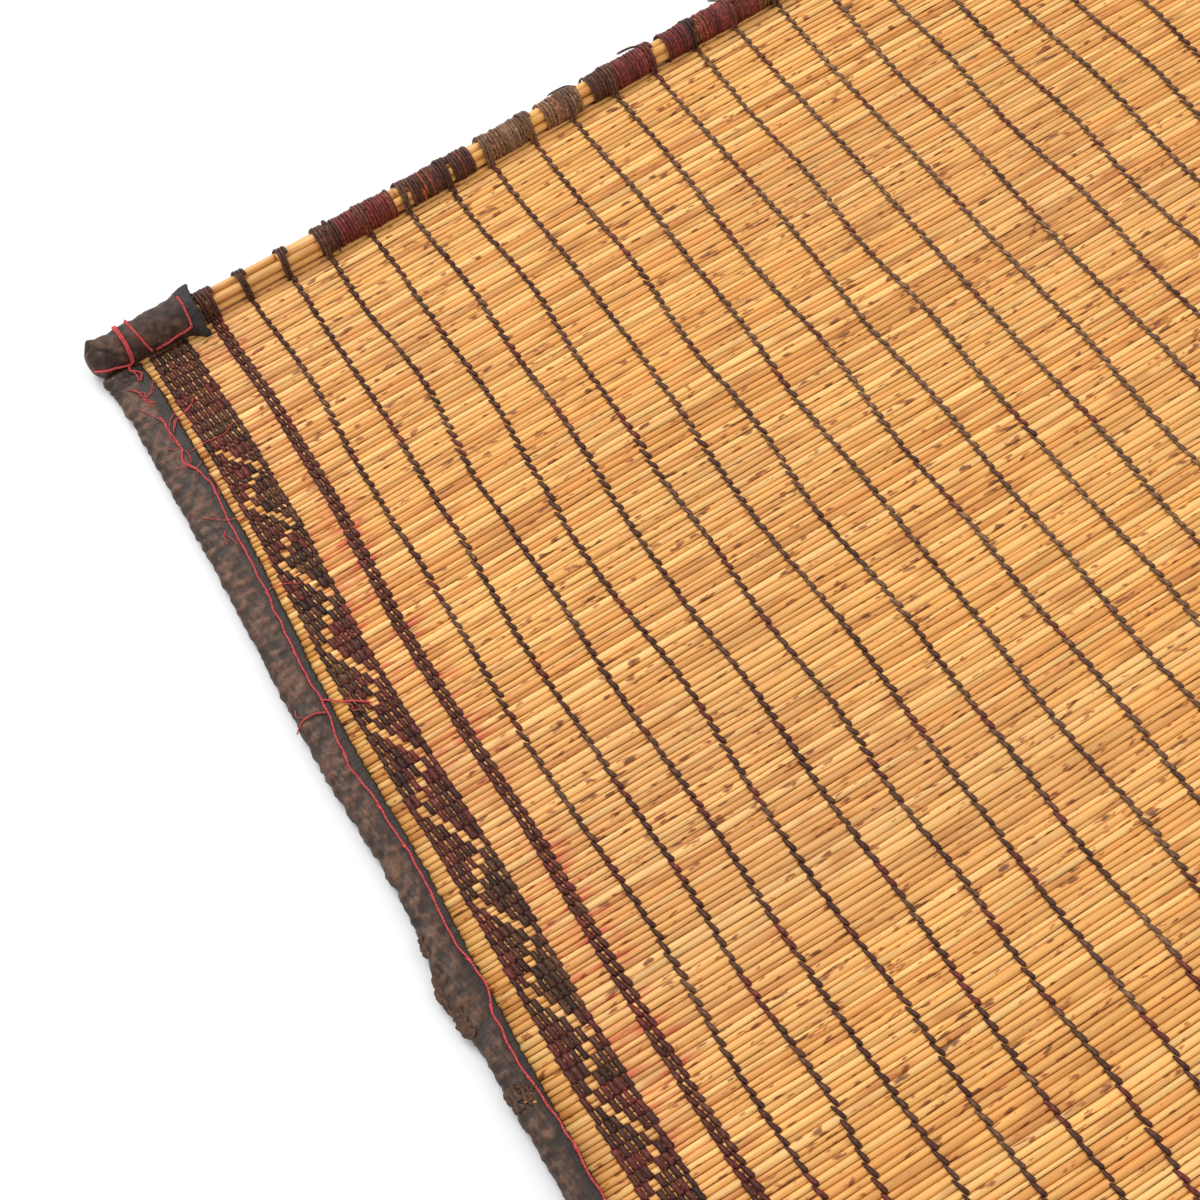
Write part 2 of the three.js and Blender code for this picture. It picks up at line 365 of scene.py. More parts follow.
def reedMaterial(name):
    material, tree, shader = newMaterial(name, 0.4, 0.45)
    shade = addNode(tree, 'ShaderNodeAttribute', attribute_name='shade')
    # A duller, dustier look in places, and lengths of some reeds that are lighter or browner
    dusty = spread(tree, (stretchedNoise(tree, (3.2, 5, 1), 2), 'Fac'), 0.42, 0.68, 0.0, 0.28)
    colour = mixColour(tree, 'MIX', (shade, 'Color'), paint(206, 158, 106), dusty)
    smudge = spread(tree, (stretchedNoise(tree, (6, 9, 1), 3), 'Fac'), 0.6, 0.78, 0.0, 0.3)
    colour = mixColour(tree, 'MIX', colour, paint(156, 100, 56), smudge)
    lengths = ramp(tree, stretchedNoise(tree, (13, 31, 0.01), 2, 0.5, 'strand'), 'Fac',
                   ((0.3, grey(0.82)), (0.5, grey(1.0)), (0.7, grey(1.1))))
    colour = mixColour(tree, 'MULTIPLY', colour, (lengths, 'Color'))
    browner = (stretchedNoise(tree, (19, 41, 0.01), 2, 0.5, 'strand'), 'Fac')
    browner = spread(tree, browner, 0.57, 0.68, 0.0, 0.7)
    colour = mixColour(tree, 'MIX', colour, paint(190, 118, 54), browner)
    # Brown flecks where a leaf sheath sat, with darker hearts
    zones = spread(tree, (stretchedNoise(tree, (9, 14, 1), 2), 'Fac'), 0.35, 0.65, -0.025, 0.025)
    flecks = calc(tree, 'ADD', (stretchedNoise(tree, (104, 37, 0.6), 2, 0.5, 'strand'), 'Fac'), zones)
    crumbs = calc(tree, 'MULTIPLY', (stretchedNoise(tree, (420, 1500, 900), 3), 'Fac'), 0.14)
    flecks = calc(tree, 'ADD', flecks, calc(tree, 'SUBTRACT', crumbs, 0.07))
    fleckTone = ramp(tree, *flecks, ((0.635, paint(208, 132, 62)), (0.675, paint(166, 94, 40)),
                                     (0.72, paint(104, 56, 24))))
    fleckShare = spread(tree, flecks, 0.62, 0.655, 0.0, 0.9)
    colour = mixColour(tree, 'MIX', colour, (fleckTone, 'Color'), fleckShare)
    streaks = ramp(tree, stretchedNoise(tree, (26, 1500, 1500), 4), 'Fac',
                   ((0.3, grey(0.8)), (0.5, grey(1.0)), (0.72, grey(1.12))))
    colour = mixColour(tree, 'MULTIPLY', colour, (streaks, 'Color'))
    # Dye from the thongs has run along some reeds beside the double row and the band
    place = addNode(tree, 'ShaderNodeTexCoord')
    parts = addNode(tree, 'ShaderNodeSeparateXYZ')
    wire(tree, place, 'Object', parts, 'Vector')
    sideways = calc(tree, 'ABSOLUTE', (parts, 'X'))
    nearDouble = calc(tree, 'ABSOLUTE', calc(tree, 'SUBTRACT', sideways, outerRow * mm))
    nearBand = calc(tree, 'ABSOLUTE', calc(tree, 'SUBTRACT', sideways, bandEdge * mm))
    near = calc(tree, 'MAXIMUM', spread(tree, nearDouble, 0.001, 0.016, 1.0, 0.0),
                spread(tree, nearBand, 0.001, 0.013, 0.75, 0.0))
    places = spread(tree, (stretchedNoise(tree, (5, 13, 1), 2), 'Fac'), 0.4, 0.56, 0.3, 1.0)
    some = (stretchedNoise(tree, (34, 29, 0.4), 3, 0.6, 'strand'), 'Fac')
    some = spread(tree, some, 0.48, 0.62, 0.0, 0.9)
    inside = spread(tree, calc(tree, 'ABSOLUTE', (parts, 'Y')), 0.474, 0.482, 1.0, 0.0)
    dyed = calc(tree, 'MULTIPLY', calc(tree, 'MULTIPLY', near, places), some)
    dyed = calc(tree, 'MULTIPLY', dyed, inside)
    colour = mixColour(tree, 'MIX', colour, paint(200, 64, 54), dyed)
    # Dark slits between reeds: painted shade on each reed's sides, in patches along it
    strand = addNode(tree, 'ShaderNodeAttribute', attribute_name='strand')
    across = addNode(tree, 'ShaderNodeSeparateXYZ')
    wire(tree, strand, 'Vector', across, 'Vector')
    edge = spread(tree, calc(tree, 'ABSOLUTE', (across, 'Z')), 0.72, 1.0)
    slitShade = (stretchedNoise(tree, (55, 53, 1.2), 3, 0.5, 'strand'), 'Fac')
    slitShade = spread(tree, slitShade, 0.46, 0.66, 0.1, 0.92)
    colour = mixColour(tree, 'MIX', colour, paint(84, 44, 18), calc(tree, 'MULTIPLY', edge, slitShade))
    tree.links.new(colour[0].outputs[colour[1]], shader.inputs['Base Color'])
    ribs = stretchedNoise(tree, (25, 2600, 2600), 3)
    bumpFrom(tree, shader, ribs, 'Fac', 0.00022, 0.6)
    return material


def thongMaterial(name, roughness=0.52):
    material, tree, shader = newMaterial(name, roughness, 0.32)
    shade = addNode(tree, 'ShaderNodeAttribute', attribute_name='shade')
    # Painted highlight streaks along the thong, with darker patches between them
    paintedLightAndMottle = ramp(tree, stretchedNoise(tree, (800, 420, 800), 3), 'Fac',
                ((0.32, grey(0.45)), (0.52, grey(1.0)), (0.72, grey(2.2))))
    colour = mixColour(tree, 'MULTIPLY', (shade, 'Color'), (paintedLightAndMottle, 'Color'))
    tree.links.new(colour[0].outputs[colour[1]], shader.inputs['Base Color'])
    bumpFrom(tree, shader, stretchedNoise(tree, (1400, 900, 1400), 3), 'Fac', 0.00025, 0.7)
    return material


reedLook = reedMaterial('goldenReed')
thongLook = thongMaterial('twistedThong')

print('materials ready')

# Reeds

reeds = {
    'pitch': 3.06,
    'swell': 0.22,          # reeds come in thicker and thinner lots
    'swellLength': 115,
    'endPitch': 0.85,       # thicker again over the last few at each end
    'endLots': 14,
    'uneven': 0.07,
    'sway': 0.6,            # how far the line between two reeds bends to and fro
    'drift': 0.4,           # and over a longer stretch, where one reed thins and another thickens
    'thinnest': 1.5,
    'overlap': 1.03,
    'lift': 0.36,
    'steps': 40,
    'alternate': 0.12,      # every other reed lies a little higher
    'highest': 1.7,
    'endGap': 0.4,
    'ragged': 0.5,
    'strandStep': 0.137,    # moves the material's noise on from one reed to the next
    'swellOrigin': 154.5,
    'swellPeak': 442,
    'handShift': 1.1,       # reeds pushed along the thongs by hand, away from the ends
    'handLength': 420,
    'handFree': 60,
    # round the section from the side towards the head end; few below, where the floor is
    'angles': (0.3, 0.9, 1.5708, 2.2, 2.85, 3.6, 4.7124, 5.8),
    'firstReed': 4.4,       # bundle axis to the outer side of the first reed
    'shades': ((231, 167, 88), (236, 174, 94), (241, 185, 106), (245, 193, 116), (231, 167, 88),
               (221, 152, 76)),
}


def reedPlaces():
    # Edges of the reeds, as distances from the mat's middle line where the ends don't bow
    draw = np.random.default_rng(11)
    limit = matSize['endAxis'] - reeds['firstReed']
    widths = []
    y = limit
    while y > -limit:
        fromEnd = limit - abs(y)
        lot = reeds['swell'] * math.cos(
            2 * math.pi * (y + reeds['swellOrigin'] - reeds['swellPeak']) / reeds['swellLength'])
        width = reeds['pitch'] + lot + reeds['endPitch'] * math.exp(-fromEnd / reeds['endLots'])
        width *= 1 + draw.uniform(-reeds['uneven'], reeds['uneven'])
        widths.append(width)
        y -= width
    widths = np.array(widths) * (2 * limit / np.sum(widths))
    return limit - np.concatenate([[0], np.cumsum(widths)])


reedEdges = reedPlaces()
reedY = (reedEdges[:-1] + reedEdges[1:]) / 2
reedCount = len(reedY)


def reedShift(x, y):
    # How far a reed lying at y is pushed along the mat at x, by the bowed ends and by hand
    limit = matSize['endAxis'] - reeds['firstReed']
    head = bowAt(x, 1) * np.exp(-(limit - y) / bow['fade'])
    foot = bowAt(x, -1) * np.exp(-(limit + y) / bow['fade'])
    free = smooth((limit - np.abs(y)) / reeds['handFree'])
    return head - foot + free * reeds['handShift'] * ripple(3, reeds['handLength'], x, y)


def softSteps(draw, shape, rounds=1):
    # Random values that change smoothly along each row, within about -1 to 1
    values = draw.normal(size=shape)
    for _ in range(rounds):
        padded = np.pad(values, ((0, 0), (1, 1)), 'edge')
        values = (padded[:, :-2] + 2 * values + padded[:, 2:]) / 4
    return values / values.std() * 0.5


def reedLines():
    # Where neighbouring reeds meet, at each step across the mat
    draw = np.random.default_rng(12)
    shape = (reedCount + 1, reeds['steps'])
    stray = reeds['sway'] * softSteps(draw, shape) + reeds['drift'] * softSteps(draw, shape, 12)
    stray[[0, -1]] = 0
    return reedEdges[:, None] + stray


meetingLines = reedLines()


def makeReeds():
    draw = np.random.default_rng(13)
    steps = reeds['steps']
    count = reedCount
    half = matSize['fieldHalf'] - reeds['endGap']
    x = np.linspace(-half, half, steps)[None, :] * np.ones((count, 1))
    x[:, 0] += draw.uniform(-reeds['ragged'], reeds['ragged'], count)
    x[:, -1] += draw.uniform(-reeds['ragged'], reeds['ragged'], count)
    upper, lower = meetingLines[:-1], meetingLines[1:]
    y = (upper + lower) / 2 + reedShift(x, reedY[:, None])
    lift = reeds['alternate'] * np.where(np.arange(count) % 2, 1, -1) * draw.uniform(0.2, 1, count)
    z = reedMiddle + lift[:, None] + reeds['lift'] * softSteps(draw, (count, steps), 1)
    paths = np.stack([x, y, z], -1)
    size = np.maximum(upper - lower, reeds['thinnest']) / 2 * reeds['overlap']
    high = np.minimum(size, reeds['highest'])
    across = np.broadcast_to(np.array([0.0, 1, 0]), paths.shape)
    up = np.broadcast_to(np.array([0.0, 0, 1]), paths.shape)
    angle = np.array(reeds['angles'])
    points, faces = tubes(paths, size, high, across, up, len(angle), angle)
    palette = np.array([paint(*shade) for shade in reeds['shades']])
    shade = palette[draw.integers(0, len(palette), count)] * draw.uniform(0.93, 1.03, (count, 1))
    strand = np.zeros((count, steps, 3))
    strand[..., 0] = x * mm
    strand[..., 1] = np.arange(count)[:, None] * reeds['strandStep']
    strand = perPoint(strand, steps, len(angle))
    strand[:, 2] = np.tile(np.cos(angle), count * steps)
    return addPiece('reeds', points, faces, reedLook, perPoint(shade, steps, len(angle)), strand,
                    'reed_field')


makeReeds()
print('reeds', reedCount)

# Thong stitches

thongShades = {
    'dark': paint(74, 41, 31),
    'brown': paint(98, 64, 40),
    'grey': paint(122, 90, 66),
    'maroon': paint(104, 38, 36),
    'black': paint(46, 30, 25),
    'rust': paint(150, 78, 42),
}


def stitchesOver(spans):
    # Middles and half lengths of stitches over so many reeds each, from the head end, then over two each
    marks = np.cumsum([0] + list(spans))
    marks = np.concatenate([marks, np.arange(marks[-1] + 2, reedCount, 2), [reedCount]])
    upper, lower = reedEdges[marks[:-1]], reedEdges[marks[1:]]
    return (upper + lower) / 2, (upper - lower) / 2


def rowPath(centre, y, seed, own):
    # Where a row that is meant to lie at centre really runs
    return centre + wanderAt(centre, y) + own * ripple(seed, 150, y) + 0.22 * ripple(seed + 500, 9, y)


def makeStitches(x, y, half, lean, width, kind, seed):
    draw = np.random.default_rng(seed)
    shape = np.array(rows[kind])
    under = kind == 'underShape'
    t, breadth, rise = shape[:, 0], shape[:, 1], shape[:, 2]
    count = len(x)
    steps = len(t)
    lean = lean * draw.uniform(0.7, 1.3, (count, 1))
    width = width * draw.uniform(0.88, 1.12, (count, 1))
    px = x[:, None] - t * lean * (-1 if under else 1)
    py = y[:, None] + t * half[:, None] * rows['reach']
    level = (rows['thickness'] + 0.15) if under else (reedTop + rows['thickness'] - rows['sunk'])
    pz = level + rise * (-1 if under else 1) * np.ones((count, 1))
    py = py + reedShift(px, y[:, None])
    paths = np.stack([px, py, pz], -1)
    outward = np.broadcast_to(np.array([0.0, 0, 1]), paths.shape)
    sideways = np.broadcast_to(np.array([1.0, 0, 0]), paths.shape)
    thick = rows['thickness'] * np.sqrt(breadth) * np.ones((count, 1))
    return paths, thick, width * breadth, outward, sideways, steps


def gather(name, parts, shades, corners, node=None):
    # Joins many sets of stitches into one piece
    joined = [np.concatenate([part[k] for part in parts]) for k in range(5)]
    points, faces = tubes(*joined, corners)
    steps = parts[0][5]
    return addPiece(name, points, faces, thongLook, perPoint(np.concatenate(shades), steps, corners),
                    None, node)


def rowShade(centre, y, seed):
    # Dark brown at the sides, greyer towards the middle, with a redder length here and there
    draw = np.random.default_rng(seed + 900)
    inner = smooth(1 - np.abs(centre) / 300) * np.ones(len(y))
    tone = np.clip(0.75 * inner + 0.35 * ripple(seed, 90, y) + draw.normal(0, 0.12, len(y)), 0, 1)[:, None]
    shade = np.array(thongShades['dark']) * (1 - tone) + np.array(thongShades['grey']) * tone
    red = smooth((ripple(seed + 7, 60, y) - 0.55) * 4)[:, None] * 0.7
    shade = shade * (1 - red) + np.array(thongShades['maroon']) * red
    return shade * draw.uniform(0.85, 1.15, (len(y), 1))


def makeRows():
    top = {-1: [], 1: []}
    topShades = {-1: [], 1: []}
    under, underShades = [], []
    for i, centre in enumerate(rowX):
        double = i in (0, len(rowX) - 1)
        for offset in ((-rows['doublePitch'] / 2, rows['doublePitch'] / 2) if double else (0,)):
            y, half = stitchesOver([1] if i % 2 else [2])
            x = rowPath(centre, y, i * 3, 0.5 if double else 1.3) + offset
            shade = rowShade(centre, y, i * 3 + (offset > 0))
            if double:
                shade = 0.7 * shade + 0.25 * np.array(thongShades['maroon'])
            side = -1 if centre < 0 else 1
            lean = rows['doubleLean'] if double else rows['lean']
            width = rows['doubleWidth'] if double else rows['width']
            top[side].append(makeStitches(x, y, half, lean, width, 'topShape', 40 + i))
            topShades[side].append(shade)
            under.append(makeStitches(x, y, half, lean, width, 'underShape', 80 + i))
            underShades.append(shade)
    gather('thongRowsLeft', top[-1], topShades[-1], 4)
    gather('thongRowsRight', top[1], topShades[1], 4)
    gather('thongRowsUnder', under, underShades, 3)


band = {
    'plainStitches': 12,     # solid twining next to the head cap
    'shortSpans': (1, 2, 1, 1, 2, 1, 1, 2, 2, 2, 1, 2, 2, 1, 2, 2),
    'zigzagTurns': 8,        # stitches in one full swing of the zigzag
    'zigzagFirst': 1,        # outermost column that the bare squares reach
    'wanderShare': 0.85,
    'halfWidth': 1.29,
    'patternWidth': 0.04,
    'lean': 0.5,
}


def bareSquares(column, stitch):
    # True where the zigzag leaves the reeds bare
    swing = (stitch - band['plainStitches']) % band['zigzagTurns']
    place = band['zigzagFirst'] + band['zigzagTurns'] // 2 - abs(swing - band['zigzagTurns'] // 2)
    return (stitch >= band['plainStitches']) & (place == column)


def makeBand(sideName, side):
    parts, shades, under, underShades = [], [], [], []
    for column in range(rows['bandColumns']):
        centre = side * (rows['bandStart'] - column * rows['bandPitch'])
        y, half = stitchesOver((2,) * band['plainStitches'] + band['shortSpans'])
        if side > 0:
            y = -y
        stitch = np.arange(len(y))
        shown = ~bareSquares(column, stitch)
        own = 0.2 * ripple(column + 60 * side + 200, 12, y)
        x = centre + wanderAt(centre, y) * band['wanderShare'] + own
        draw = np.random.default_rng(300 + column * 2 + side)
        tone = ripple(31 + side, 34, y, np.full(len(y), column * 3.0))
        olive = smooth((tone - 0.35) * 3)[:, None] * draw.uniform(0.2, 0.8, (len(y), 1))
        red = smooth((0.45 - tone) * 1.5)[:, None] * draw.uniform(0.25, 0.9, (len(y), 1))
        shade = np.array(thongShades['dark']) * (1 - olive) + np.array(thongShades['brown']) * olive
        shade = shade * (1 - red) + np.array(thongShades['maroon']) * red
        black = (draw.uniform(0, 1, len(y)) < 0.2)[:, None] * 0.6
        shade = shade * (1 - black) + np.array(thongShades['black']) * black
        shade = shade * draw.uniform(0.55, 1.15, (len(y), 1))
        width = (band['halfWidth'] + 0.16 * ripple(77 + side, 11, x, y))[:, None]
        width = width + band['patternWidth'] * (stitch >= band['plainStitches'])[:, None]
        width = width * draw.uniform(0.88, 1.12, (len(y), 1))
        laid = (x[shown], y[shown], half[shown], band['lean'], width[shown])
        parts.append(makeStitches(*laid, 'bandShape', 400 + column))
        under.append(makeStitches(*laid, 'underShape', 500 + column))
        shades.append(shade[shown])
        underShades.append(shade[shown])
    name = sideName.capitalize()
    gather('band' + name, parts, shades, 5)
    gather('band' + name + 'Under', under, underShades, 3)


makeRows()
for sideName, side in sides:
    makeBand(sideName, side)
print('thongs')

# Leather bindings folded over the reed ends

binding = {
    'section': ((0, 0), (16.5, 0), (19.2, 1.6), (20, 4), (18.6, 6.6), (15.4, 8), (11, 7.3), (4, 5.9),
                (0, 5.5), (0, 4.4), (12, 4.4), (12, 0.8), (0, 0.8)),
    'width': 20,
    'endGap': 11.3,         # bundle axis to the end of a binding
    'stations': 760,
    'spacing': 1.15,        # between points round the section
    'pucker': 0.46,
    'endFolds': ((3.2, 3.4), (7.5, 2.8), (12.5, 1.4)),
}
# Leather torn loose along the outer edge of the left binding: how far it reaches past the edge
tears = (
    {'from': 119, 'to': 129, 'reach': 1.2, 'inner': 18.2},
    {'from': 90, 'to': 114, 'reach': 3.6, 'inner': 18.2},
    {'from': 79.5, 'to': 93, 'reach': 2.6, 'inner': 18},
    {'from': 47, 'to': 54, 'reach': 1.4, 'inner': 15},
    {'from': 43, 'to': 49, 'reach': 0.6, 'inner': 16},
)
# Where it has worn right through, reed ends show among the crumbs
wornThrough = {
    'reedEnds': ({'y': 47.6, 'from': 10.6, 'to': 14}, {'y': 45.4, 'from': 11, 'to': 14.8},
                 {'y': 43.6, 'from': 10.4, 'to': 13.2}),
    'crumbs': 46,
    'around': (13.5, 49.5),
    'scatter': (4.2, 5),
}
# The upper layer of the left binding is torn off from here towards the foot end
tornLayer = {'to': 92.5, 'thick': 0.75}
leatherShades = {
    'dark': paint(54, 40, 32),
    'worn': paint(104, 70, 52),
    # grey of a painted sheen on the lumps of the roll, standing in for highlights
    'paintedSheen': paint(108, 90, 78),
    'strip': paint(42, 32, 27),
    'torn': paint(98, 64, 42),
    'capDark': paint(51, 34, 27),
    'capWorn': paint(84, 57, 42),
    'flap': paint(47, 42, 41),
}


def sectionRing():
    corners = np.array(binding['section'], float)
    closed = np.vstack([corners, corners[:1]])
    lengths = np.hypot(*np.diff(closed, axis=0).T)
    points = []
    for start, finish, length in zip(closed[:-1], closed[1:], lengths):
        hidden = min(start[1], finish[1]) < 4.5 and max(start[1], finish[1]) < 5.6 and start[0] < 17
        count = max(1, round(length / binding['spacing'] / (3 if hidden else 1)))
        points += [start + (finish - start) * i / count for i in range(count)]
    ring = np.array(points)
    soft = (np.roll(ring, 1, 0) + 2 * ring + np.roll(ring, -1, 0)) / 4
    along = np.roll(soft, -1, 0) - np.roll(soft, 1, 0)
    outward = np.stack([along[:, 1], -along[:, 0]], 1)
    return soft, outward / np.linalg.norm(outward, axis=1, keepdims=True)


def bindingPlace(out, y):
    # Where a point of the section lies outside the stem edge line
    inner = tableAt(bindingTable, 'inner', y)
    outer = tableAt(bindingTable, 'outer', y)
    return out + inner + (outer - binding['width'] - inner) * out / binding['width']


def bindingTop(outside, y):
    # Height of the binding's upper face at a distance outside the stem edge line
    inner = tableAt(bindingTable, 'inner', y)
    outer = tableAt(bindingTable, 'outer', y)
    out = (outside - inner) * binding['width'] / (outer - inner)
    top = np.array(binding['section'][3:9][::-1], float)
    return np.interp(out, top[:, 0], top[:, 1])


def loft(rings, flip=False):
    steps, corners = rings.shape[:2]
    ring = np.arange(corners)
    nextOne = (ring + 1) % corners
    quad = np.stack([ring, nextOne, nextOne + corners, ring + corners], 1)
    faces = np.concatenate([quad + step * corners for step in range(steps - 1)]).tolist()
    faces.append(ring[::-1].tolist())
    faces.append((ring + (steps - 1) * corners).tolist())
    if flip:
        faces = [face[::-1] for face in faces]
    return rings.reshape(-1, 3), faces


def halfTurn(points):
    return points * np.array([-1, -1, 1])


def makeBinding(sideName, side):
    ring, outward = sectionRing()
    half = matSize['endAxis'] - binding['endGap']
    y = np.linspace(-half, half, binding['stations'])[:, None]
    seed = 700 + side
    arc = np.cumsum(np.hypot(*(ring - np.roll(ring, 1, 0)).T))[None, :]
    out = ring[:, 0][None, :]
    z = ring[:, 1][None, :]
    onRoll = smooth((out - 3) / 6) * smooth((z - 0.3) / 1.5)
    puckers = 0.8 * ripple(seed, 8.5, y, arc * 0.35) + 0.5 * ripple(seed + 1, 5.2, y, arc)
    puckers = puckers + 0.4 * ripple(seed + 2, 16, y, arc)
    for fromEnd, depth in binding['endFolds']:
        puckers = puckers - depth * np.exp(-((half - np.abs(y) - fromEnd - 0.12 * out) / 1.3) ** 2)
    rise = binding['pucker'] * puckers * (0.25 + 0.75 * onRoll)
    fromTear = y - tornLayer['to'] - 1.6 * ripple(seed + 7, 8, out, z)
    torn = smooth(fromTear / 0.9) * (1 - smooth((y - tornLayer['to'] - 14) / 26)) * (side < 0) * onRoll
    rise = rise + tornLayer['thick'] * torn
    ragged = 0.45 * ripple(seed + 3, 5, y) + 0.3 * ripple(seed + 4, 1.9, y)
    edge = 0.35 * ripple(seed + 8, 15, y) + 0.22 * ripple(seed + 9, 2.6, y, z)
    px = bindingPlace(out, y) + outward[:, 0] * rise + ragged * (1 - smooth(out / 3)) * (z > 4.9)
    px = px + edge * smooth((out - 15) / 4)
    pz = np.maximum(z + outward[:, 1] * rise, 0.05)
    rings = np.stack([-(matSize['stemEdge'] + px), y * np.ones_like(px), pz], -1)
    points, faces = loft(rings)
    worn = 0.5 * puckers + 0.35 * ripple(seed + 5, 4.2, y, arc) + 0.25 * ripple(seed + 6, 40, y) + 0.25
    worn = smooth(worn + 0.2 * smooth((y - 60) / 150)) * onRoll * (1 - 0.6 * smooth((out - 16.5) / 2.5))
    # Painted sheen: lighter grey patches on the lumps of the roll, standing in for highlights
    paintedSheen = smooth(0.7 * ripple(seed + 10, 7, y, arc * 0.6) + 0.5 * puckers - 0.25)
    paintedSheen = (0.45 * paintedSheen * onRoll)[..., None]
    strip = (1 - smooth((out - 3) / 5)) * (z > 4.9)
    shade = (np.array(leatherShades['dark']) * (1 - worn)[..., None]
             + np.array(leatherShades['worn']) * worn[..., None])
    shade = shade * (1 - paintedSheen) + np.array(leatherShades['paintedSheen']) * paintedSheen
    shade = shade * (1 - strip)[..., None] + np.array(leatherShades['strip']) * strip[..., None]
    if side < 0:
        rim = (np.exp(-((fromTear - 0.8) / 0.9) ** 2) * onRoll)[..., None]
        shade = shade * (1 - rim) + np.array(leatherShades['torn']) * rim
        # Painted shade round the worn-through hole, darkening the leather as in a recess
        away = ((out - wornThrough['around'][0]) / 4.5) ** 2 + ((y - wornThrough['around'][1]) / 5) ** 2
        shade = shade * (1 - 0.6 * np.exp(-away))[..., None]
    if side > 0:
        points = halfTurn(points)
    return addPiece('binding' + sideName.capitalize(), points, faces, leatherLook, shade.reshape(-1, 3),
                    None, 'binding_' + sideName)


def leatherMaterial(name, roughness, creases, specular=0.3):
    material, tree, shader = newMaterial(name, roughness, specular)
    shade = addNode(tree, 'ShaderNodeAttribute', attribute_name='shade')
    # Mottled tone from the same crease noise as the bump below: over the leather's own mottling it paints
    # shade into the creases and lighter patches on their rises
    paintedLightAndMottle = ramp(tree, stretchedNoise(tree, creases, 5, 0.65), 'Fac',
                ((0.34, grey(0.55)), (0.5, grey(1.0)), (0.7, grey(1.6))))
    colour = mixColour(tree, 'MULTIPLY', (shade, 'Color'), (paintedLightAndMottle, 'Color'))
    tree.links.new(colour[0].outputs[colour[1]], shader.inputs['Base Color'])
    grain = bumpFrom(tree, shader, stretchedNoise(tree, (900, 900, 900), 5, 0.6), 'Fac', 0.0005, 0.6)
    bumpFrom(tree, shader, stretchedNoise(tree, creases, 2), 'Fac', 0.0012, 0.5, grain)
    return material


leatherLook = leatherMaterial('oldLeather', 0.5, (190, 380, 260), 0.36)
for sideName, side in sides:
    makeBinding(sideName, side)


def tornStrip(tear, seed):
    y = np.arange(tear['from'], tear['to'], 0.6)[:, None]
    t = (y - tear['from']) / (tear['to'] - tear['from'])
    edge = bindingPlace(binding['width'], y)
    jagged = 0.8 * ripple(seed, 6, y) + 0.3 * ripple(seed + 1, 2.4, y)
    swell = np.sin(np.pi * np.clip(t, 0.02, 0.98)) ** 0.7
    reach = edge + (tear['reach'] + jagged) * swell
    inner = tear['inner'] + 0.8 * ripple(seed + 2, 5, y)
    across = np.linspace(0, 1, 7)
    v = np.concatenate([across, across[::-1]])[None, :]
    out = inner + (reach - inner) * v
    upper = np.array([0] * 7 + [1] * 7)[None, :]
    lie = np.maximum(bindingTop(out, y) + 0.1, 7.6 - 0.42 * (out - 15.4))
    z = lie + 0.25 * ripple(seed + 3, 6, y, out) + 0.6 * upper * (1 - 0.6 * v)
    return loft(np.stack([-(matSize['stemEdge'] + out), y * np.ones_like(out), z], -1))


def makeTornLeather():
    parts = [tornStrip(tear, 760 + 5 * number) for number, tear in enumerate(tears)]
    draw = np.random.default_rng(790)
    count = wornThrough['crumbs']
    centre = np.array(wornThrough['around']) + draw.normal(0, 0.5, (count, 2)) * wornThrough['scatter']
    place = np.stack([-(matSize['stemEdge'] + centre[:, 0]), centre[:, 1],
                      bindingTop(centre[:, 0], centre[:, 1]) + 0.2], 1)
    turn = draw.uniform(0, np.pi, count)
    ahead = np.stack([np.cos(turn), np.sin(turn), draw.uniform(-0.2, 0.2, count)], 1)
    length = draw.uniform(0.5, 1.5, (count, 1, 1))
    paths = place[:, None, :] + length * np.linspace(-1, 1, 4)[None, :, None] * ahead[:, None, :]
    outward, sideways = cordFrame(paths, np.broadcast_to(np.array([0.0, 0, 1]), paths.shape))
    size = draw.uniform(0.5, 1.1, (count, 1)) * np.array([0.45, 1, 0.8, 0.4])
    parts.append(tubes(paths, size * 0.8, size, outward, sideways, 6))
    points, faces = joinParts(parts)
    tone = smooth(0.5 + 0.6 * ripple(795, 2.4, points[:, 0], points[:, 1]))[:, None]
    shade = np.array(leatherShades['torn']) * (1 - tone) + np.array(leatherShades['dark']) * tone
    addPiece('tornLeather', points, faces, leatherLook, shade, None, None)


def makeBareReedEnds():
    shown = wornThrough['reedEnds']
    paths = np.array([[(-(matSize['stemEdge'] + out), end['y'], bindingTop(out, end['y']) - 0.1)
                       for out in np.linspace(end['to'], end['from'], 5)] for end in shown])
    outward, sideways = cordFrame(paths, np.broadcast_to(np.array([0.0, 0, 1]), paths.shape))
    size = np.full(paths.shape[:2], 0.6)
    points, faces = tubes(paths, size, size, outward, sideways, 8)
    strand = np.stack([points[:, 0] * mm, np.round(points[:, 1] / 2.4) * 0.4, np.zeros(len(points))], 1)
    shade = np.tile(np.array(paint(188, 130, 70)), (len(points), 1))
    addPiece('bareReedEnds', points, faces, reedLook, shade, strand, None)


def cordFrame(paths, hint):
    # Directions across each path, for tubes
    ahead = np.gradient(paths, axis=1)
    ahead /= np.linalg.norm(ahead, axis=2, keepdims=True)
    outward = hint - (hint * ahead).sum(2, keepdims=True) * ahead
    outward /= np.linalg.norm(outward, axis=2, keepdims=True)
    return outward, np.cross(ahead, outward)


makeTornLeather()
makeBareReedEnds()
print('bindings')

# Bundles of thick reeds along the ends, and the thongs that lash and tie them

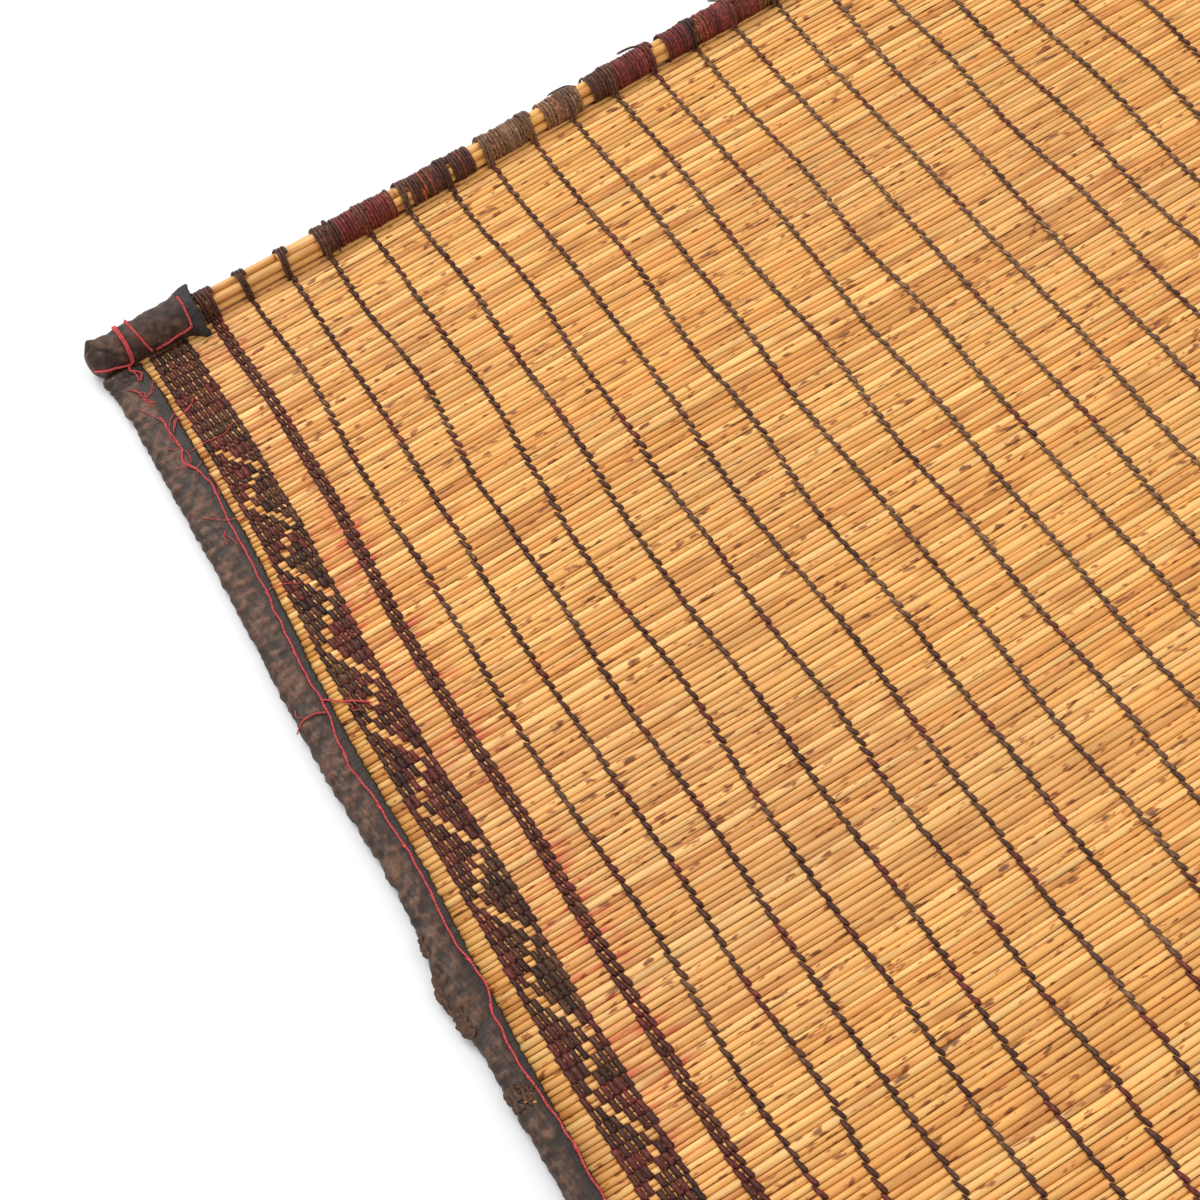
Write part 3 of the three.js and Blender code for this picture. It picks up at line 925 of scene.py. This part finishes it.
bundle = {
    'reed': 4.4,
    'count': 7,
    'firstAngle': 0.35,
    'steps': 64,
    'corners': 12,
    'start': 403,
    'cutEnd': -302,         # where one of the outer reeds stops
    'shades': ((224, 164, 82), (232, 174, 94), (214, 150, 74), (228, 168, 86), (235, 180, 104)),
}


def axisAt(x, end):
    x = np.asarray(x, float)
    y = end * (matSize['endAxis'] + bowAt(x, end))
    return np.stack([x, y, np.full(x.shape, matSize['bundleHeight'])], -1)


def rollPoint(x, end, angle, radius):
    # A point on a roll round the bundle's axis, angle 0 outwards from the mat and up at a quarter turn
    place = axisAt(x, end)
    place[..., 1] += end * radius * np.cos(angle)
    place[..., 2] += radius * np.sin(angle)
    return place


def outwardAt(end, angle):
    return np.stack([np.zeros_like(angle), end * np.cos(angle), np.sin(angle)], -1)


def makeBundle(endName, end):
    draw = np.random.default_rng(820 + end)
    x = np.linspace(-bundle['start'], bundle['start'], bundle['steps'])
    count = bundle['count']
    angles = np.arange(count) * np.pi / 3 + bundle['firstAngle']
    reach = np.array([1, 1, 1, 1, 1, 1, 0]) * bundle['reed']
    sway = 0.22 * np.sin(x / 120 + draw.uniform(0, 6.28)) + 0.1 * np.sin(x / 47)
    angle = angles[:, None] + sway[None, :] + 0.06 * np.sin(x / 35 + draw.uniform(0, 6.28, (count, 1)))
    paths = rollPoint(np.tile(x, (count, 1)), end, angle, reach[:, None] * (1 + 0.02 * np.sin(x / 60)))
    if end > 0:
        # the upper outer reed is cut off short of the corner
        shorter = np.linspace(bundle['cutEnd'], bundle['start'], len(x))
        paths[1] = rollPoint(shorter, end, angle[1], reach[1])
    hint = np.broadcast_to(np.array([0.0, 0, 1]), paths.shape)
    outward, sideways = cordFrame(paths, hint)
    radius = bundle['reed'] / 2 * (0.98 + 0.05 * np.sin(x / 80 + draw.uniform(0, 6.28, (count, 1))))
    points, faces = tubes(paths, radius, radius, outward, sideways, bundle['corners'])
    palette = np.array([paint(*shade) for shade in bundle['shades']])
    shade = palette[draw.integers(0, len(palette), count)]
    strand = np.zeros((count, len(x), 3))
    strand[..., 0] = x * mm
    strand[..., 1] = 90 + np.arange(count)[:, None] * 0.31
    shade = perPoint(shade, len(x), bundle['corners'])
    strand = perPoint(strand, len(x), bundle['corners'])
    return addPiece('bundle' + endName.capitalize(), points, faces, reedLook, shade, strand,
                    'bundle_' + endName)


lashing = {
    'radius': 7.25,
    'thick': 0.62,
    'wide': 0.98,
    'pitch': 1.8,
    'turnSteps': 16,
    'firstAngle': -1.2,
    'corners': 5,
}
# Lengths of the head bundle that are wrapped, the tone of each and how loosely it is wound
coils = (
    {'from': -281.7, 'to': -234.7, 'tones': (('dark', -270), ('maroon', -234)), 'loose': 0.1},
    {'from': -226.7, 'to': -205.7, 'tones': (('dark', -221), ('rust', -219), ('dark', -205)),
     'loose': 0.15},
    {'from': -201.7, 'to': -187.7, 'tones': (('dark', -187),), 'loose': 0.15},
    {'from': -182.7, 'to': -155.7, 'tones': (('grey', -155),), 'loose': 0.3},
    {'from': -145.7, 'to': -120.7, 'tones': (('grey', -120),), 'loose': 0.45},
    {'from': -116.7, 'to': -74.7, 'tones': (('dark', -102), ('maroon', -74)), 'loose': 0.15},
    {'from': -68.7, 'to': 68.7, 'tones': (('maroon', -10), ('brown', 68)), 'loose': 0.2},
    {'from': 76, 'to': 150, 'tones': (('grey', 110), ('dark', 150)), 'loose': 0.3},
    {'from': 158, 'to': 204, 'tones': (('dark', 204),), 'loose': 0.15},
    {'from': 212, 'to': 282, 'tones': (('maroon', 250), ('brown', 282)), 'loose': 0.15},
)


def toneAt(tones, x):
    shade = np.zeros((len(x), 3))
    for name, until in reversed(tones):
        shade[x <= until + 1.5] = thongShades[name]
    return shade


def makeCoil(endName, end, number, coil):
    draw = np.random.default_rng(900 + number + 50 * end)
    margin = lashing['pitch'] / 2
    length = coil['to'] - coil['from'] - 2 * margin
    turns = max(3, round(length / lashing['pitch']))
    steps = turns * lashing['turnSteps'] + 1
    winding = np.linspace(0, turns, steps)
    wound = np.cumsum(1 + draw.uniform(-1, 1, turns + 1) * (0.25 + coil['loose']))
    wound = (wound - wound[0]) / (wound[-1] - wound[0])
    along = coil['from'] + margin + length * np.interp(winding, np.arange(turns + 1), wound)
    angle = winding * 2 * np.pi + lashing['firstAngle']
    slant = (0.35 + 1.2 * coil['loose']) * np.sin(angle + 0.6 * ripple(number, 25, along))
    across = end * (along + slant)
    radius = lashing['radius'] + 0.3 * ripple(number + 30, 9, along) + 0.12 * np.sin(winding * 9.1)
    path = rollPoint(across, end, angle, radius)[None]
    path[..., 2] = np.maximum(path[..., 2], lashing['thick'] + 0.05)
    hint = outwardAt(end, angle)[None]
    outward, sideways = cordFrame(path, hint)
    thick = np.full((1, steps), lashing['thick'])
    wide = lashing['wide'] * (1 + 0.22 * ripple(number + 60, 14, along))[None]
    points, faces = tubes(path, thick, wide, outward, sideways, lashing['corners'])
    turn = np.minimum(winding.astype(int), turns - 1)
    shade = toneAt(coil['tones'], along) * draw.uniform(0.7, 1.2, turns)[turn][:, None]
    aged = draw.uniform(0, 1, turns)[turn][:, None] ** 5 * 0.5
    shade = shade * (1 - aged) + np.array(thongShades['rust']) * aged
    return addPiece('lashing%s%02d' % (endName.capitalize(), number), points, faces, thongLook,
                    perPoint(shade[None], steps, lashing['corners']), None,
                    'lashing_%s_%02d' % (endName, number))


def beltPoint(angle, axisY, reach, end, small):
    # Runs a thong round the bundle and the first reed of the field together
    big = np.array([0.0, matSize['bundleHeight']])
    near = np.array([-small['offset'], reedMiddle])
    ahead = np.stack([np.cos(angle), np.sin(angle)], -1)
    farther = (ahead @ big + reach) >= (ahead @ near + small['radius'])
    place = np.where(farther[:, None], big + reach[:, None] * ahead, near + small['radius'] * ahead)
    return np.stack([end * (axisY + place[:, 0]), place[:, 1]], -1)


tie = {
    'turns': 2.6,
    'steps': 22,
    'pitch': 1.9,
    'lean': 2.4,
    'thick': 0.6,
    'wide': 0.95,
    'corners': 5,
    'doubleHalf': 2.4,
    'rowEnd': 470.0,        # where along the mat a row's wander is taken for its tie
    'firstAngle': -2.0,
    'overWrap': 0.6,
    'overReeds': 0.1,
    'small': {'offset': 6.5, 'radius': 2.7},
}


def makeTies(endName, end):
    paths, hints, shades = [], [], []
    draw = np.random.default_rng(1000 + end)
    wrapped = [(coil['from'], coil['to']) for coil in coils]
    steps = round(tie['turns'] * tie['steps'])
    for i, centre in enumerate(rowX):
        double = i in (0, len(rowX) - 1)
        for offset in ((-tie['doubleHalf'], tie['doubleHalf']) if double else (0,)):
            x = float(rowPath(centre, np.array([end * tie['rowEnd']]), i * 3, 0.8)[0]) + offset
            inWrap = any(start - 3 < end * x < stop + 3 for start, stop in wrapped)
            angle = np.linspace(0, tie['turns'] * 2 * np.pi, steps) + tie['firstAngle']
            over = tie['overWrap'] if inWrap else tie['overReeds']
            reach = lashing['radius'] + over + 0.15 * np.sin(angle * 1.7)
            axisY = matSize['endAxis'] + float(bowAt(x, end))
            place = beltPoint(angle, axisY, reach, end, tie['small'])
            lean = tie['lean'] * draw.uniform(0.6, 1.3) * np.sin(angle + draw.uniform(-0.5, 0.5))
            along = x + (angle / 2 / np.pi - tie['turns'] / 2) * tie['pitch'] + lean * 0.5
            path = np.stack([along, place[:, 0], np.maximum(place[:, 1], 0.6)], -1)
            paths.append(path)
            hints.append(outwardAt(end, angle))
            tone = np.array(thongShades[('dark', 'brown', 'dark', 'black')[draw.integers(0, 4)]])
            if inWrap:
                coil = min(coils, key=lambda c: abs((c['from'] + c['to']) / 2 - end * x))
                tone = 0.5 * tone + 0.5 * toneAt(coil['tones'], np.array([end * x]))[0]
            shades.append(tone * draw.uniform(0.8, 1.1))
    paths = np.array(paths)
    outward, sideways = cordFrame(paths, np.array(hints))
    thick = np.full(paths.shape[:2], tie['thick'])
    wide = np.full(paths.shape[:2], tie['wide'])
    points, faces = tubes(paths, thick, wide, outward, sideways, tie['corners'])
    return addPiece('ties' + endName.capitalize(), points, faces, thongLook,
                    perPoint(np.array(shades), steps, tie['corners']), None, None)


for endName, end in ends:
    makeBundle(endName, end)
    for number, coil in enumerate(coils, 1):
        makeCoil(endName, end, number, coil)
    makeTies(endName, end)
print('bundles')

# Short loose ends of the lashing thongs: across the mat, outwards from the end line and height
whiskers = (
    {'thick': 0.5, 'route': ((-133.7, 11.2, 8), (-128.7, 10.2, 9.5), (-124, 6.5, 12.8), (-121, 1, 15.2))},
    {'thick': 0.6, 'route': ((-89.3, 11.7, 9), (-84, 10.6, 10), (-80.7, 8.3, 11.6), (-78.1, 3.6, 14))},
    {'thick': 0.5, 'route': ((-30.7, 12.4, 10), (-29.6, 10.4, 11), (-28.4, 8, 12.2), (-27.7, 4.8, 13.6))},
    {'thick': 1.1, 'route': ((-272.1, 7.2, 13.6), (-272.3, 5.5, 14.4), (-272.2, 3.2, 13.8))},
    {'thick': 0.8, 'route': ((-271.6, -9.4, 4.9), (-271.9, -7.6, 6.6), (-272.6, -5, 10.5))},
)


def makeWhiskers(endName, end):
    parts = []
    for whisker in whiskers:
        route = np.array(whisker['route'], float)
        line = throughPoints(route, 0.9)
        base = matSize['endAxis'] + bowAt(end * line[:, 0], end)
        path = np.stack([end * line[:, 0], end * (base + line[:, 1]), line[:, 2]], 1)[None]
        outward, sideways = cordFrame(path, np.broadcast_to(np.array([0.1, 0, 1.0]), path.shape))
        size = np.full(path.shape[:2], whisker['thick'])
        size[0, :2] *= (0.4, 0.75)
        points, faces = tubes(path, size, size * 1.2, outward, sideways, 5)
        parts.append((points, faces))
    points, faces = joinParts(parts)
    shade = np.tile(np.array(thongShades['dark']), (len(points), 1))
    return addPiece('looseEnds' + endName.capitalize(), points, faces, thongLook, shade, None, None)


for endName, end in ends:
    makeWhiskers(endName, end)

# Leather caps sewn over the corners

cap = {
    'radius': 10.5,
    'mouth': 11.7,
    'rounding': 9,
    'stations': 74,
    'corners': 72,
    'wall': 1.4,
    'lowest': 0.06,
    'insideLowest': (0.5, 0.9, 1.3),
    'insideDepths': (0.3, 3, 9),
    'insideWalls': (0.6, 1, 1.6),
    'crowding': 1.25,       # stations stand closer together towards the closed end
    'flap': 54,             # from the outer end to where the darker lining shows
}


def capRadius(u, angle, seed):
    # Radius of the leather at a distance u from the closed end
    rounding = np.sqrt(np.clip(1 - (1 - np.clip(u / cap['rounding'], 0, 1)) ** 2, 0, 1))
    base = cap['radius'] * (0.94 + 0.06 * smooth(u / 30)) * (0.12 + 0.88 * rounding)
    base = base + (cap['mouth'] - cap['radius']) * smooth((u - 44) / 16)
    pleats = 0.8 * np.sin(angle * 9 + 0.8 * np.sin(angle * 2 + seed)) * np.exp(-u / 7) * rounding
    folds = 0.3 * ripple(seed, 13, u, angle * 10) + 0.16 * ripple(seed + 1, 4.5, u, angle * 10)
    # A crease runs slantwise over the roll from the closed end, towards the mat
    line = (u - 8) - (angle - 1.75) * 11
    crease = -1.1 * np.exp(-(line / 0.8) ** 2) + 0.55 * np.exp(-((line - 2.2) / 1.6) ** 2)
    crease = crease * smooth((u - 5) / 4) * smooth((24 - u) / 4)
    # Torn tips stand up at the closed end, and the mouth is flared with a hanging corner
    tips = 2.2 * np.exp(-((angle - 1.0) / 0.16) ** 2) + 1.5 * np.exp(-((angle - 0.62) / 0.1) ** 2)
    tips = tips * np.exp(-((u - 5.5) / 2.6) ** 2)
    hanging = 4.2 * np.exp(-((angle - 3.45) / 0.42) ** 2) + 2.2 * np.exp(-((angle - 1.0) / 0.2) ** 2)
    return base + pleats + folds * smooth(u / 5) + crease + tips + hanging * smooth((u - 51) / 9)


def makeCap(endName, end, sideName, side):
    seed = 1100 + 10 * end + side
    turned = end < 0
    # A foot cap is the head cap of the other side turned half round
    way = -side if turned else side
    angle = np.linspace(0, 2 * np.pi, cap['corners'], endpoint=False)[None, :]
    length = matSize['capLength']
    t = np.linspace(0, 1, cap['stations'])[:, None]
    ragged = 0.8 * ripple(seed + 2, 9, angle * 10) + 0.5 * ripple(seed + 3, 3, angle * 10) - 0.8
    u = (length + ragged) * t ** cap['crowding']
    radius = capRadius(u, angle, seed)
    # The last rings turn back into the mouth
    inU = (length + ragged) - np.array(cap['insideDepths'])[:, None]
    inRadius = capRadius(inU, angle, seed) - cap['wall'] * np.array(cap['insideWalls'])[:, None]
    u = np.vstack([u, inU])
    radius = np.vstack([radius, inRadius])
    lowest = np.concatenate([np.full(cap['stations'], cap['lowest']), cap['insideLowest']])[:, None]
    x = way * (matSize['halfWidth'] - u)
    axis = matSize['endAxis']
    y = axis + radius * np.cos(angle)
    z = np.maximum(matSize['bundleHeight'] + radius * np.sin(angle), lowest)
    rings = np.stack([x, y * np.ones_like(x), z], -1)
    points, faces = loft(rings, way > 0)
    worn = smooth(0.4 + 0.6 * ripple(seed, 13, u, angle * 10) + 0.4 * ripple(seed + 5, 5, u, angle * 10))
    shade = (np.array(leatherShades['capDark']) * (1 - worn)[..., None]
             + np.array(leatherShades['capWorn']) * worn[..., None])
    lining = smooth((u - cap['flap'] - 1.5 * np.sin(angle * 2)) / 1.2)[..., None]
    shade = shade * (1 - lining) + np.array(leatherShades['flap']) * lining
    if turned:
        points = halfTurn(points)
    return addPiece('cap%s%s' % (endName.capitalize(), sideName.capitalize()), points, faces, capLook,
                    shade.reshape(-1, 3), None, 'cap_%s_%s' % (endName, sideName))


capLook = leatherMaterial('capLeather', 0.55, (420, 420, 420))
for endName, end in ends:
    for sideName, side in sides:
        makeCap(endName, end, sideName, side)
print('caps')

# Red sewing thread

thread = {
    'ply': 0.33,
    'twist': 2.6,
    'spacing': 0.75,
    'stitch': 34,
    'overlap': 4,
}
# The seam line near the inner edge of a binding: distance outside the stem edge line, along the mat
seamTable = {
    'y': (-467, -440, -360, -280, -200, -120, -40, 25, 65, 80, 98, 120, 157, 193, 215, 250, 265, 300, 315,
          345, 362, 382, 391, 402, 412, 426, 434),
    'outside': (4, 4.5, 6.5, 5.5, 7.5, 5, 6.8, 6.3, 9, 8.3, 4.6, 7, 5, 6.3, 8.7, 5, 5.4, 3.5, 2, 1,
                0.8, -1.2, 0.8, 5, 3.2, 4.4, 3.4, 5.4),
}
# Loose lengths near the head end's left corner: distance inside the stem edge line and along the mat
looseThreads = (
    {'thick': 0.9, 'route': ((-4, 473), (-6, 468), (-3.4, 466), (-1.6, 463), (-3.8, 459))},
    {'thick': 0.7, 'route': ((-3.2, 473), (-5.4, 469), (-4.2, 464), (-4.4, 459.5))},
    {'thick': 0.5, 'route': ((-12.1, 457.6), (-8, 453), (-5, 450.5), (-7.1, 446.2), (-2.5, 442.3))},
    {'thick': 0.4, 'route': ((2.5, 457.6), (-1.4, 451.2), (-6.4, 446.2), (-4, 443))},
    {'thick': 0.4, 'route': ((-9, 456), (-6, 449), (-1.6, 449.5), (0.5, 452))},
    {'thick': 0.35, 'route': ((-7.6, 452), (-6.8, 447), (-4.5, 445), (-6, 441.5))},
    {'thick': 0.45, 'route': ((-12.1, 443.4), (-8.6, 437.6), (-5, 431.2), (-3.3, 426.7))},
    {'thick': 0.5, 'route': ((14.2, 434.7), (10, 430.5), (3.3, 428.8), (-1.3, 423))},
    {'thick': 0.5, 'route': ((11.5, 432), (6, 429.3), (1, 427.5), (-2.5, 421))},
    {'thick': 0.5, 'route': ((3.3, 432.2), (-0.8, 428.8), (-4.2, 422.2), (-5, 418), (-3.3, 411.3),
                             (-2.5, 408))},
    {'thick': 0.5, 'route': ((-5, 402.2), (-3, 398), (-1.7, 395.5), (-2.1, 392.2))},
    {'thick': 0.5, 'route': ((-2.1, 408), (-1.4, 404), (-2.4, 400))},
    {'thick': 0.35, 'route': ((-9.2, 413.4), (-6.8, 411.6), (-4.6, 410.5))},
    {'thick': 0.35, 'route': ((-10, 400.1), (-7.8, 399.3), (-5.8, 399.7))},
    {'thick': 0.4, 'route': ((-0.8, 406.3), (7.5, 407.5), (18.3, 406.7), (24.2, 409.7), (28.3, 410.5))},
    {'thick': 0.3, 'route': ((-1.8, 395), (0.5, 397), (2.5, 398.2))},
    {'thick': 0.3, 'route': ((2, 390), (3.4, 384), (2.4, 378), (1, 375))},
    {'thick': 0.4, 'route': ((-10.8, 366.8), (-6, 363.6), (-1.7, 360.5), (3.4, 359))},
    {'thick': 0.4, 'route': ((-4.6, 355), (-6.6, 352), (-7, 347))},
    {'thick': 0.4, 'route': ((-5.8, 353.6), (-3.8, 349.6), (-2.8, 345))},
    {'thick': 0.45, 'route': ((-2, 314.5), (3, 315.5), (8, 313.5), (13, 310.5))},
    {'thick': 1.0, 'route': ((-5.5, 250.5), (0, 247), (8, 241.5), (13.5, 237))},
    {'thick': 0.4, 'route': ((3, 244.6), (5.6, 240.6), (4.6, 238.2), (8, 236.8))},
    {'thick': 0.35, 'route': ((7.4, 247.6), (6.8, 243.6), (9.6, 240.6))},
    {'thick': 0.8, 'route': ((-6, 243.5), (-10, 245), (-15, 245), (-19.5, 243.5), (-22, 242))},
    {'thick': 0.4, 'route': ((-17.5, 251.5), (-18.2, 248.2), (-15.2, 245.2))},
)
# Strands on a cap: distance from its closed end and angle round it
capStitches = (
    ((19.4, 3.3), (21.0, 2.6), (21.3, 1.9), (20.5, 1.0), (20.2, 0.2)),
    ((20.5, 3.2), (22.0, 2.6), (22.2, 1.9), (21.6, 1.0), (21.2, 0.2)),
    ((31.6, 3.1), (30.5, 2.7), (29.4, 2.2), (27.6, 1.3), (27.0, 0.2)),
    ((33.7, 3.16), (43.0, 3.05), (54.0, 2.86), (55.1, 2.6), (56.2, 1.9), (55.2, 1.0), (54.5, 0.2)),
    ((1.6, 2.8), (7.3, 2.9), (16.6, 3.2), (19.4, 3.3)),
)


def twistedThread(line, scale=1.0):
    # Two plies twisted round each other along a line, as points and faces
    path = line[None]
    hint = np.broadcast_to(np.array([0.05, 0.02, 1.0]), path.shape)
    outward, sideways = cordFrame(path, hint)
    angle = np.arange(len(line)) * thread['spacing'] / thread['twist'] * 2 * np.pi
    radius = thread['ply'] * scale
    shift = np.cos(angle)[:, None] * outward[0] + np.sin(angle)[:, None] * sideways[0]
    paths = np.stack([line + shift * radius * 0.85, line - shift * radius * 0.85])
    both = np.repeat(outward, 2, 0), np.repeat(sideways, 2, 0)
    size = np.full(paths.shape[:2], radius)
    return tubes(paths, size, size, both[0], both[1], 5)


def surfaceTop(inside, y):
    # Height of what a thread lies on at a distance inside the stem edge line, on the left side
    onBinding = -inside > tableAt(bindingTable, 'inner', y) - 0.3
    onBand = (inside > 4.4) & (inside < 28)
    return np.where(onBinding, bindingTop(-inside, y) + 0.25, np.where(onBand, reedTop + 1.1, reedTop))


def threadMaterial(name):
    material, tree, shader = newMaterial(name, 0.55, 0.4)
    tone = ramp(tree, stretchedNoise(tree, (900, 900, 900), 2), 'Fac',
                ((0.35, paint(176, 46, 54)), (0.65, paint(218, 88, 86))))
    wire(tree, tone, 'Color', shader, 'Base Color')
    return material


def makeSeam(sideName, side):
    # Long back stitches that overlap a little, with their ends drawn into the leather
    draw = np.random.default_rng(1300 + side)
    parts = []
    y = seamTable['y'][-1]
    while y > seamTable['y'][0] + 10:
        length = thread['stitch'] * draw.uniform(0.75, 1.2)
        steps = max(8, round(length / thread['spacing']))
        along = np.linspace(y, max(y - length, seamTable['y'][0]), steps)
        fromStart = np.minimum(y - along, along - along[-1])
        outside = tableAt(seamTable, 'outside', along) + 0.35 * ripple(14 + side, 17, along)
        outside = outside + 0.55 * (1 - smooth((y - along) / 5)) * draw.uniform(0.6, 1.2)
        z = bindingTop(outside, along) + 0.45 - 0.9 * (1 - smooth(fromStart / 1.6))
        line = np.stack([-(matSize['stemEdge'] + outside), along, z], 1)
        parts.append(twistedThread(line))
        y -= length - thread['overlap']
    if side < 0:
        for loose in looseThreads:
            route = np.array(loose['route'], float)
            line = throughPoints(route, thread['spacing'])
            z = surfaceTop(line[:, 0], line[:, 1]) + 0.4 * loose['thick'] + 0.25
            z = np.convolve(np.pad(z, 3, 'edge'), np.ones(7) / 7, 'valid')
            line = np.stack([line[:, 0] - matSize['stemEdge'], line[:, 1], z], 1)
            parts.append(twistedThread(line, loose['thick']))
    points, faces = joinParts(parts)
    if side > 0:
        points = halfTurn(points)
    return addPiece('seamThread' + sideName.capitalize(), points, faces, threadLook)


def makeCapThreads(endName, end, sideName, side):
    turned = end < 0
    way = -side if turned else side
    seed = 1100 + 10 * end + side
    parts = []
    for strand in capStitches:
        line = throughPoints(strand, 0.045)
        u, angle = line[:, 0], line[:, 1]
        radius = capRadius(u, angle, seed) + thread['ply'] + 0.25
        place = np.stack([way * (matSize['halfWidth'] - u), matSize['endAxis'] + radius * np.cos(angle),
                          np.maximum(matSize['bundleHeight'] + radius * np.sin(angle), 0.6)], 1)
        few = place[::max(1, len(place) // 14)]
        parts.append(twistedThread(throughPoints(few, thread['spacing']), 1.35))
    points, faces = joinParts(parts)
    if turned:
        points = halfTurn(points)
    name = 'capThread' + endName.capitalize() + sideName.capitalize()
    return addPiece(name, points, faces, threadLook)


threadLook = threadMaterial('redThread')
for sideName, side in sides:
    makeSeam(sideName, side)
    for endName, end in ends:
        makeCapThreads(endName, end, sideName, side)
print('red threads')

# Floor, light and camera

stage = {
    'floorSize': 12,
    'floorShade': (0.86, 0.86, 0.87),
    'world': 0.82,
    'lamps': (('keyLight', (-0.4, 1.8, 1.9), 1.2, 32), ('fillLight', (1.6, -0.8, 2.0), 2.0, 12)),
}


def makeStage():
    bpy.ops.mesh.primitive_plane_add(size=stage['floorSize'], location=(0, 0, 0))
    floor = bpy.context.object
    floor.name = 'floor'
    material, _, shader = newMaterial('paleFloor', 0.8, 0.2)
    shader.inputs['Base Color'].default_value = (*stage['floorShade'], 1)
    floor.data.materials.append(material)
    world = bpy.data.worlds.new('studio')
    scene.world = world
    world.use_nodes = True
    world.node_tree.nodes['Background'].inputs['Color'].default_value = (1, 1, 1, 1)
    world.node_tree.nodes['Background'].inputs['Strength'].default_value = stage['world']
    for name, place, size, power in stage['lamps']:
        bpy.ops.object.light_add(type='AREA', location=place)
        lamp = bpy.context.object
        lamp.name = name
        lamp.data.size = size
        lamp.data.energy = power
        lamp.rotation_euler = Vector(place).to_track_quat('Z', 'Y').to_euler()


# The photo looks at the head end's left corner, from low on the mat's left half
view = {
    'place': (-388.7, -154.5, 744.1),
    'azimuth': -18.35,
    'tilt': 28.36,
    'roll': -13.81,
    'focalPixels': 1850,
    'framePixels': 1200,
}


def makeCamera():
    camera = bpy.data.cameras.new('camera')
    holder = bpy.data.objects.new('camera', camera)
    scene.collection.objects.link(holder)
    turn = (Matrix.Rotation(math.radians(view['azimuth']), 4, 'Z')
            @ Matrix.Rotation(math.radians(view['tilt']), 4, 'X')
            @ Matrix.Rotation(math.radians(view['roll']), 4, 'Z'))
    holder.matrix_world = Matrix.Translation([c * mm for c in view['place']]) @ turn
    camera.sensor_fit = 'HORIZONTAL'
    camera.angle = 2 * math.atan(view['framePixels'] / 2 / view['focalPixels'])
    camera.clip_start = 0.01
    scene.camera = holder


makeStage()
makeCamera()
scene.view_settings.view_transform = 'Standard'
